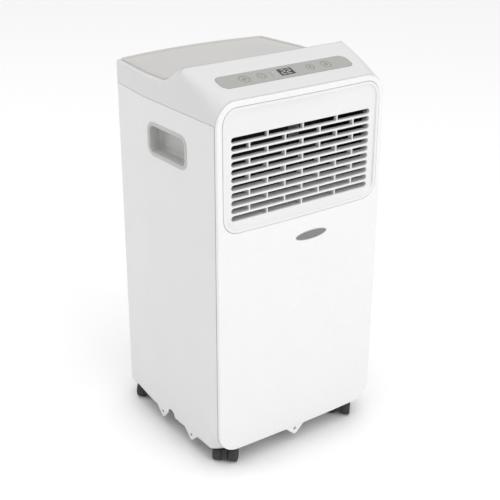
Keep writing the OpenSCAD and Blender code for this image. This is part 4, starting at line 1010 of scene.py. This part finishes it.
handle_middle = (cup_low.y + cup_high.y) / 2
cup_height = (cup_low.z + cup_high.z) / 2
tab_middles = (handle_middle + 43 * MM, handle_middle - 54 * MM)
notch_middle = handle_middle + 13 * MM
notch_radius = 12 * MM
tab_half = 21 * MM


def casing_columns():
    """Places along the straight side: an even row, plus close ones at the arch, the tabs and the crease."""
    arch = notch_middle + notch_radius * np.cos(np.linspace(0, math.pi, 15))
    tabs = np.concatenate([m + np.linspace(-tab_half, tab_half, 17) for m in tab_middles])
    even = np.linspace(casing_front + 1 * MM, crease - 3 * MM, 60)
    fixed = np.concatenate([arch, [m + s * tab_half for m in tab_middles for s in (-1, 1)]])
    near = np.concatenate([even, tabs])
    near = near[np.abs(near[:, None] - fixed[None]).min(1) > 0.5 * MM]
    front_edge = casing_front + np.array([0, 0.12, 0.45]) * MM
    crease_edge = crease - np.array([1.5, 0.7]) * MM
    places = np.unique(np.round(np.concatenate([front_edge, near, fixed, crease_edge, [crease]]), 6))
    return places[np.r_[True, np.diff(places) > 0.09 * MM]]


def casing_bottom(y):
    """The lower edge: the skirt's height with a half-round arch cut up into it."""
    arch = np.sqrt(np.maximum(notch_radius ** 2 - (y - notch_middle) ** 2, 0))
    return skirt + arch


def casing_tab(columns, middle, limit=-math.inf):
    """A ring from a tab's outline, wide at its root and round at its tip, to its screw hole.

    Nothing of the root lies ahead of the limit.
    """
    hole = np.array([middle, skirt - 6 * MM])
    top = columns[(columns > max(middle - tab_half, limit) - 1e-7) & (columns < middle + tab_half + 1e-7)]
    tip = circle_points(13, -30, -150) * 7 * MM + [middle, skirt - 10 * MM]
    step = np.linspace(0, 1, 7)[1:-1, None]
    right = np.array([middle + tab_half, skirt])
    left = np.array([max(middle - tab_half, top[0]), skirt])
    root = np.stack([top, np.full(len(top), skirt)], 1)
    outline = np.concatenate([root, right + (tip[0] - right) * step, tip, tip[-1] + (left - tip[-1]) * step])
    angle = np.arctan2(outline[:, 1] - hole[1], outline[:, 0] - hole[0])
    outline, angle = outline[np.argsort(angle)], np.sort(angle)
    circle = hole + 3 * MM * np.stack([np.cos(angle), np.sin(angle)], 1)
    t = np.linspace(0, 1, 4)[:, None, None]
    return outline * (1 - t) + circle * t


def casing_path(y):
    """The casing's plan: a straight side at the given Ys with a round front edge, then round to the split."""
    soft = 0.9 * MM
    edge = np.maximum(soft - (y - casing_front), 0) / soft
    x = half_width - soft * (1 - np.sqrt(np.maximum(1 - edge ** 2, 0)))
    points = plan_path(crease, 1, 60)[0][2:]
    points = points[points[:, 0] > rear_split]
    last = [rear_split, rear - rear_arc_radius + math.sqrt(rear_arc_radius ** 2 - rear_split ** 2)]
    return np.concatenate([np.stack([x, y], 1), points, [last]])


def casing_heights(low):
    """Heights of the casing's rows: evenly up to the corner's top, and closer together by the handle."""
    corner_top = skirt + corner_radius
    handle_from, handle_to = 530 * MM, 601 * MM
    lower = low + (corner_top - low) * np.linspace(0, 1, 12)[:, None]
    upper = np.concatenate([np.linspace(corner_top, handle_from, 12)[1:],
                            np.linspace(handle_from, handle_to, 25)[1:],
                            np.linspace(handle_to, seam_height - 0.5 * MM, 5)[1:],
                            [seam_height - 0.15 * MM, seam_height]])
    return np.concatenate([lower, upper[:, None] + 0 * low])


def bend_in(x, y, z):
    """Bends the lower corner in: below its top the wall follows a circle of the corner's radius over k.

    The curvature k fades from 0.97 at the front edge to nothing 24 mm behind it.
    """
    corner_top = skirt + corner_radius
    bend = 0.97 * smooth((bend_end - y) / (20 * MM))
    k = np.maximum(bend, 1e-4)
    angle = np.clip((corner_top - z) / corner_radius, 0, 1) * np.arcsin(k)
    bent = bend > 1e-3
    bent_x = x - corner_radius / k * (1 - np.cos(angle))
    bent_z = corner_top - corner_radius / k * np.sin(angle)
    return np.where(bent, bent_x, x), np.where(bent & (z < corner_top), bent_z, z)


def make_side_casing(side, name):
    """A grid of places round the plan and heights, open behind the handle cup, with two screw tabs below."""
    y = casing_columns()
    path = casing_path(y)
    low = np.concatenate([casing_bottom(y), np.full(len(path) - len(y), skirt)])
    z = casing_heights(low)
    x = np.broadcast_to(path[:, 0], z.shape).copy()
    x[-1] -= 0.35 * MM
    x[-2] -= 0.1 * MM
    x, z = bend_in(x, path[:, 1], z)
    grid = np.stack([side * x, np.broadcast_to(path[:, 1], z.shape), z], -1)
    quads = grid_faces(*z.shape)
    centre = grid.reshape(-1, 3)[quads].mean(1)
    off = np.abs(centre[:, 1:] - [handle_middle, cup_height])
    inner = np.array([60.85, 29.85]) * MM - cup_corner
    outside = np.linalg.norm(np.maximum(off - inner, 0), axis=1)
    behind_bezel = 3.2 * MM
    parts = [(grid, quads[outside > cup_corner - behind_bezel])]
    for middle in tab_middles:
        ring = casing_tab(y, middle, notch_middle + notch_radius if middle > notch_middle else -math.inf)
        flat = np.stack([np.full(ring.shape[:2], side * half_width), ring[..., 0], ring[..., 1]], -1)
        parts.append(sleeve(flat))
    piece = make_piece(name + "_skin", parts, side_white_painted_shade, "cabinet", "casing_white", [name],
                       sharp=30, merge=1e-5, recalc=False)
    work = bmesh.new()
    work.from_mesh(piece.data)
    bmesh.ops.recalc_face_normals(work, faces=work.faces)
    work.to_mesh(piece.data)
    work.free()
    turn_towards(piece, Vector((side, 0, 0)))
    return solidify(piece, wall)


def make_front_tab():
    """The front panel's lower tab: a ring from its outline to its hole, thickened."""
    middle = -6 * MM
    ring = casing_tab(middle + np.linspace(-tab_half, tab_half, 17), middle)
    flat = upright(ring, front + 3.5 * MM)
    piece = make_piece("front_tab", [sleeve(flat)], gloss_white, "cabinet", "front_white", sharp=30)
    turn_towards(piece, Vector((0, -1, 0)))
    solidify(piece, 5 * MM)
    return bevel_edges(piece, 0.8 * MM, 3, 60)


def make_handle_cup(side, name):
    """A bezel with a soft crown, the cup's wall, its rounded foot and its floor, round one outline."""
    outline = Outline(cup_high.y - cup_low.y, cup_high.z - cup_low.z, cup_corner, 30, 14, 10)
    foot = 5
    turn = np.linspace(0, math.pi / 2, 7)[1:]
    inset = np.concatenate([[0, 0, 0.1, 0.4, 0.9, 1.6, 3.4, 5.0, 5.9, 6.5, 6.85, 7.0, 7.25, 7.6],
                            7.6 + foot * (1 - np.cos(turn)), [16, 20, 24, 29.85]]) * MM
    lift = np.concatenate([[-0.6, 0.4, 0.7, 0.95, 1.12, 1.2, 1.2, 1.12, 0.9, 0.45, -0.2, -1.2, -7, -16],
                           -16 - foot * np.sin(turn), [-21, -21, -21, -21]]) * MM
    flat = outline.at(inset) + [handle_middle, cup_height]
    x = np.broadcast_to(side * (half_width + lift)[:, None], flat.shape[:2])
    piece = make_piece(name + "_shell", [sleeve(np.stack([x, flat[..., 0], flat[..., 1]], -1))], cup_grey,
                       "cabinet", "cup_grey", [name], sharp=60, merge=3e-5, recalc=False)
    turn_towards(piece, Vector((side, 0, 0)))
    return piece


def tuck_pan_corners(pan):
    """Moves the pan's two front corners 6 mm towards the middle, clear of the casings' bent lower corners."""
    mesh = pan.data
    points = np.empty(len(mesh.vertices) * 3, np.float32)
    mesh.vertices.foreach_get("co", points)
    points = points.reshape(-1, 3)
    corner = (np.abs(points[:, 0]) > 160 * MM) & (points[:, 1] < bend_end)
    points[corner, 0] -= np.sign(points[corner, 0]) * 6 * MM
    mesh.vertices.foreach_set("co", points.ravel())
    mesh.update()


# ---- casters ----

def make_wheels(name):
    """Two lathed wheels with round treads and stepped hubs, and the axle between them; profiles in mm."""
    low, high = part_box("caster_" + name)
    centre = (np.array(low) + np.array(high)) / 2
    r = (high.z - low.z) / 2 / MM
    axis = np.array([math.cos(caster_turn), math.sin(caster_turn), 0])
    tread = [(r - 1.9, -7.95), (r - 0.6, -7.3), (r, -5.9), (r, 5.9), (r - 0.6, 7.3), (r - 1.9, 7.95)]
    hub = [(9.6, 7.95), (9.2, 7.2), (6.0, 6.4), (3.4, 6.6), (2.6, 7.4), (0.02, 7.7)]
    profile = np.array([(radius, -height) for radius, height in hub[::-1]] + tread + hub) * MM
    parts = [lathe(profile, centre + side * wheel_offset * axis, axis, 56) for side in (-1, 1)]
    axle = np.array([(2.45, -9.2), (2.45, 9.2)]) * MM
    parts.append(lathe(axle, centre, axis, 24))
    make_piece(name + "_tread", parts, tread_black, name, "black_rubber", ["caster_" + name],
               sharp=35, merge=4e-5)


# ---- floor, camera and lights ----

def make_floor():
    """A plain pale floor that reaches far past the view: one wide flat grid."""
    line = np.linspace(-60, 60, 9)
    xs, ys = np.meshgrid(line, line)
    points, quads = sheet(np.stack([xs, ys, 0 * xs], -1))
    mesh = bpy.data.meshes.new("floor")
    mesh.from_pydata(points.reshape(-1, 3), [], quads.tolist())
    floor = bpy.data.objects.new("floor", mesh)
    bpy.context.scene.collection.objects.link(floor)
    floor.data.materials.append(plastic("floor_pale", (0.96, 0.96, 0.96), 0.35, grain=0.00001, spread=0.002))


def make_light(name, place, aim, size, power):
    """A white area light at a place, turned to its aim."""
    data = bpy.data.lights.new(name, "AREA")
    data.shape = "RECTANGLE"
    data.size, data.size_y = size
    data.energy = power
    light = bpy.data.objects.new(name, data)
    bpy.context.scene.collection.objects.link(light)
    light.location = place
    light.rotation_euler = (Vector(aim) - Vector(place)).to_track_quat("-Z", "Y").to_euler()


def set_camera():
    """The camera in front and to the left, looking down at the cabinet's middle; upright edges converge."""
    data = bpy.data.cameras.new("camera")
    data.lens = 75.92
    data.sensor_width = 36
    data.clip_start = 0.05
    data.clip_end = 200
    camera = bpy.data.objects.new("camera", data)
    bpy.context.scene.collection.objects.link(camera)
    place = (-1.0399, -1.4541, 1.1177)
    yaw, pitch, roll = np.radians([36.0034, 23.9788, 0.167])
    aim = Vector((math.sin(yaw) * math.cos(pitch), math.cos(yaw) * math.cos(pitch), -math.sin(pitch)))
    turn = aim.to_track_quat("-Z", "Y").to_matrix().to_4x4() @ Matrix.Rotation(roll, 4, "Z")
    camera.matrix_world = Matrix.Translation(place) @ turn
    bpy.context.scene.camera = camera


def set_world():
    """A soft white studio surround: pale at the horizon, dim just above it, and bright overhead."""
    world = bpy.data.worlds.new("surround")
    world.use_nodes = True
    tree = world.node_tree
    place = tree.nodes.new("ShaderNodeTexCoord")
    split = tree.nodes.new("ShaderNodeSeparateXYZ")
    ramp = tree.nodes.new("ShaderNodeValToRGB")
    ramp.color_ramp.elements[0].color = (0.5, 0.5, 0.5, 1)
    ramp.color_ramp.elements[1].color = (1, 1, 1, 1)
    for position, level in ((0.12, 0.2), (0.5, 0.56)):
        stop = ramp.color_ramp.elements.new(position)
        stop.color = (level, level, level, 1)
    tree.links.new(place.outputs["Generated"], split.inputs["Vector"])
    tree.links.new(split.outputs["Z"], ramp.inputs["Fac"])
    tree.links.new(ramp.outputs["Color"], tree.nodes["Background"].inputs["Color"])
    tree.nodes["Background"].inputs["Strength"].default_value = 1.5
    bpy.context.scene.world = world


# ---- the object ----

finish_inside()
make_front_panel()
make_front_grille()
make_lattice()
make_badge()
make_front_tab()
make_top_cover()
make_top_tray()
make_strip()
make_buttons()
make_display()
make_side_casing(-1, "side_casing_left")
make_side_casing(1, "side_casing_right")
make_handle_cup(-1, "handle_cup_left")
make_handle_cup(1, "handle_cup_right")
for node, material, slot, body, width in (
        ("rear_upper_housing", rear_satin, "rear_white", "cabinet", 0.4),
        ("rear_lower_housing", rear_satin, "rear_white", "cabinet", 0.4),
        ("exhaust_collar", cup_grey, "collar_grey", "cabinet", 0.6),
        ("cord_gland", rubber_black, "black_rubber", "cabinet", 0.4),
        ("upper_drain_plug", rubber_black, "black_rubber", "upper_drain_plug", 0.5),
        ("lower_drain_plug", rubber_black, "black_rubber", "lower_drain_plug", 0.5),
        ("base_pan", pan_zinc, "pan_steel", "cabinet", 0.4),
        ("upper_filter", filter_gauze, "filter_grey", "upper_filter", 0.3),
        ("lower_filter", filter_gauze, "filter_grey", "lower_filter", 0.3),
        ("case_screws", screw_zinc, "screw_steel", "cabinet", 0.2)):
    bevelled_copy(node, material, slot, body, width * MM)
tuck_pan_corners(bpy.data.objects["base_pan_finished"])
for corner in ("front_left", "front_right", "rear_left", "rear_right"):
    bevelled_copy("caster_fork_" + corner, nylon_black, "black_plastic", "caster_" + corner, 0.5 * MM)
    make_wheels("wheels_" + corner)

make_floor()
set_camera()
set_world()
make_light("front", (0.3, -3.2, 1.5), (0, -0.1, 0.35), (2.2, 1.6), 30)
make_light("left", (-2.6, 2.6, 1.3), (0, 0.1, 0.35), (1.6, 1.4), 16)
bpy.context.scene.view_settings.view_transform = "Standard"
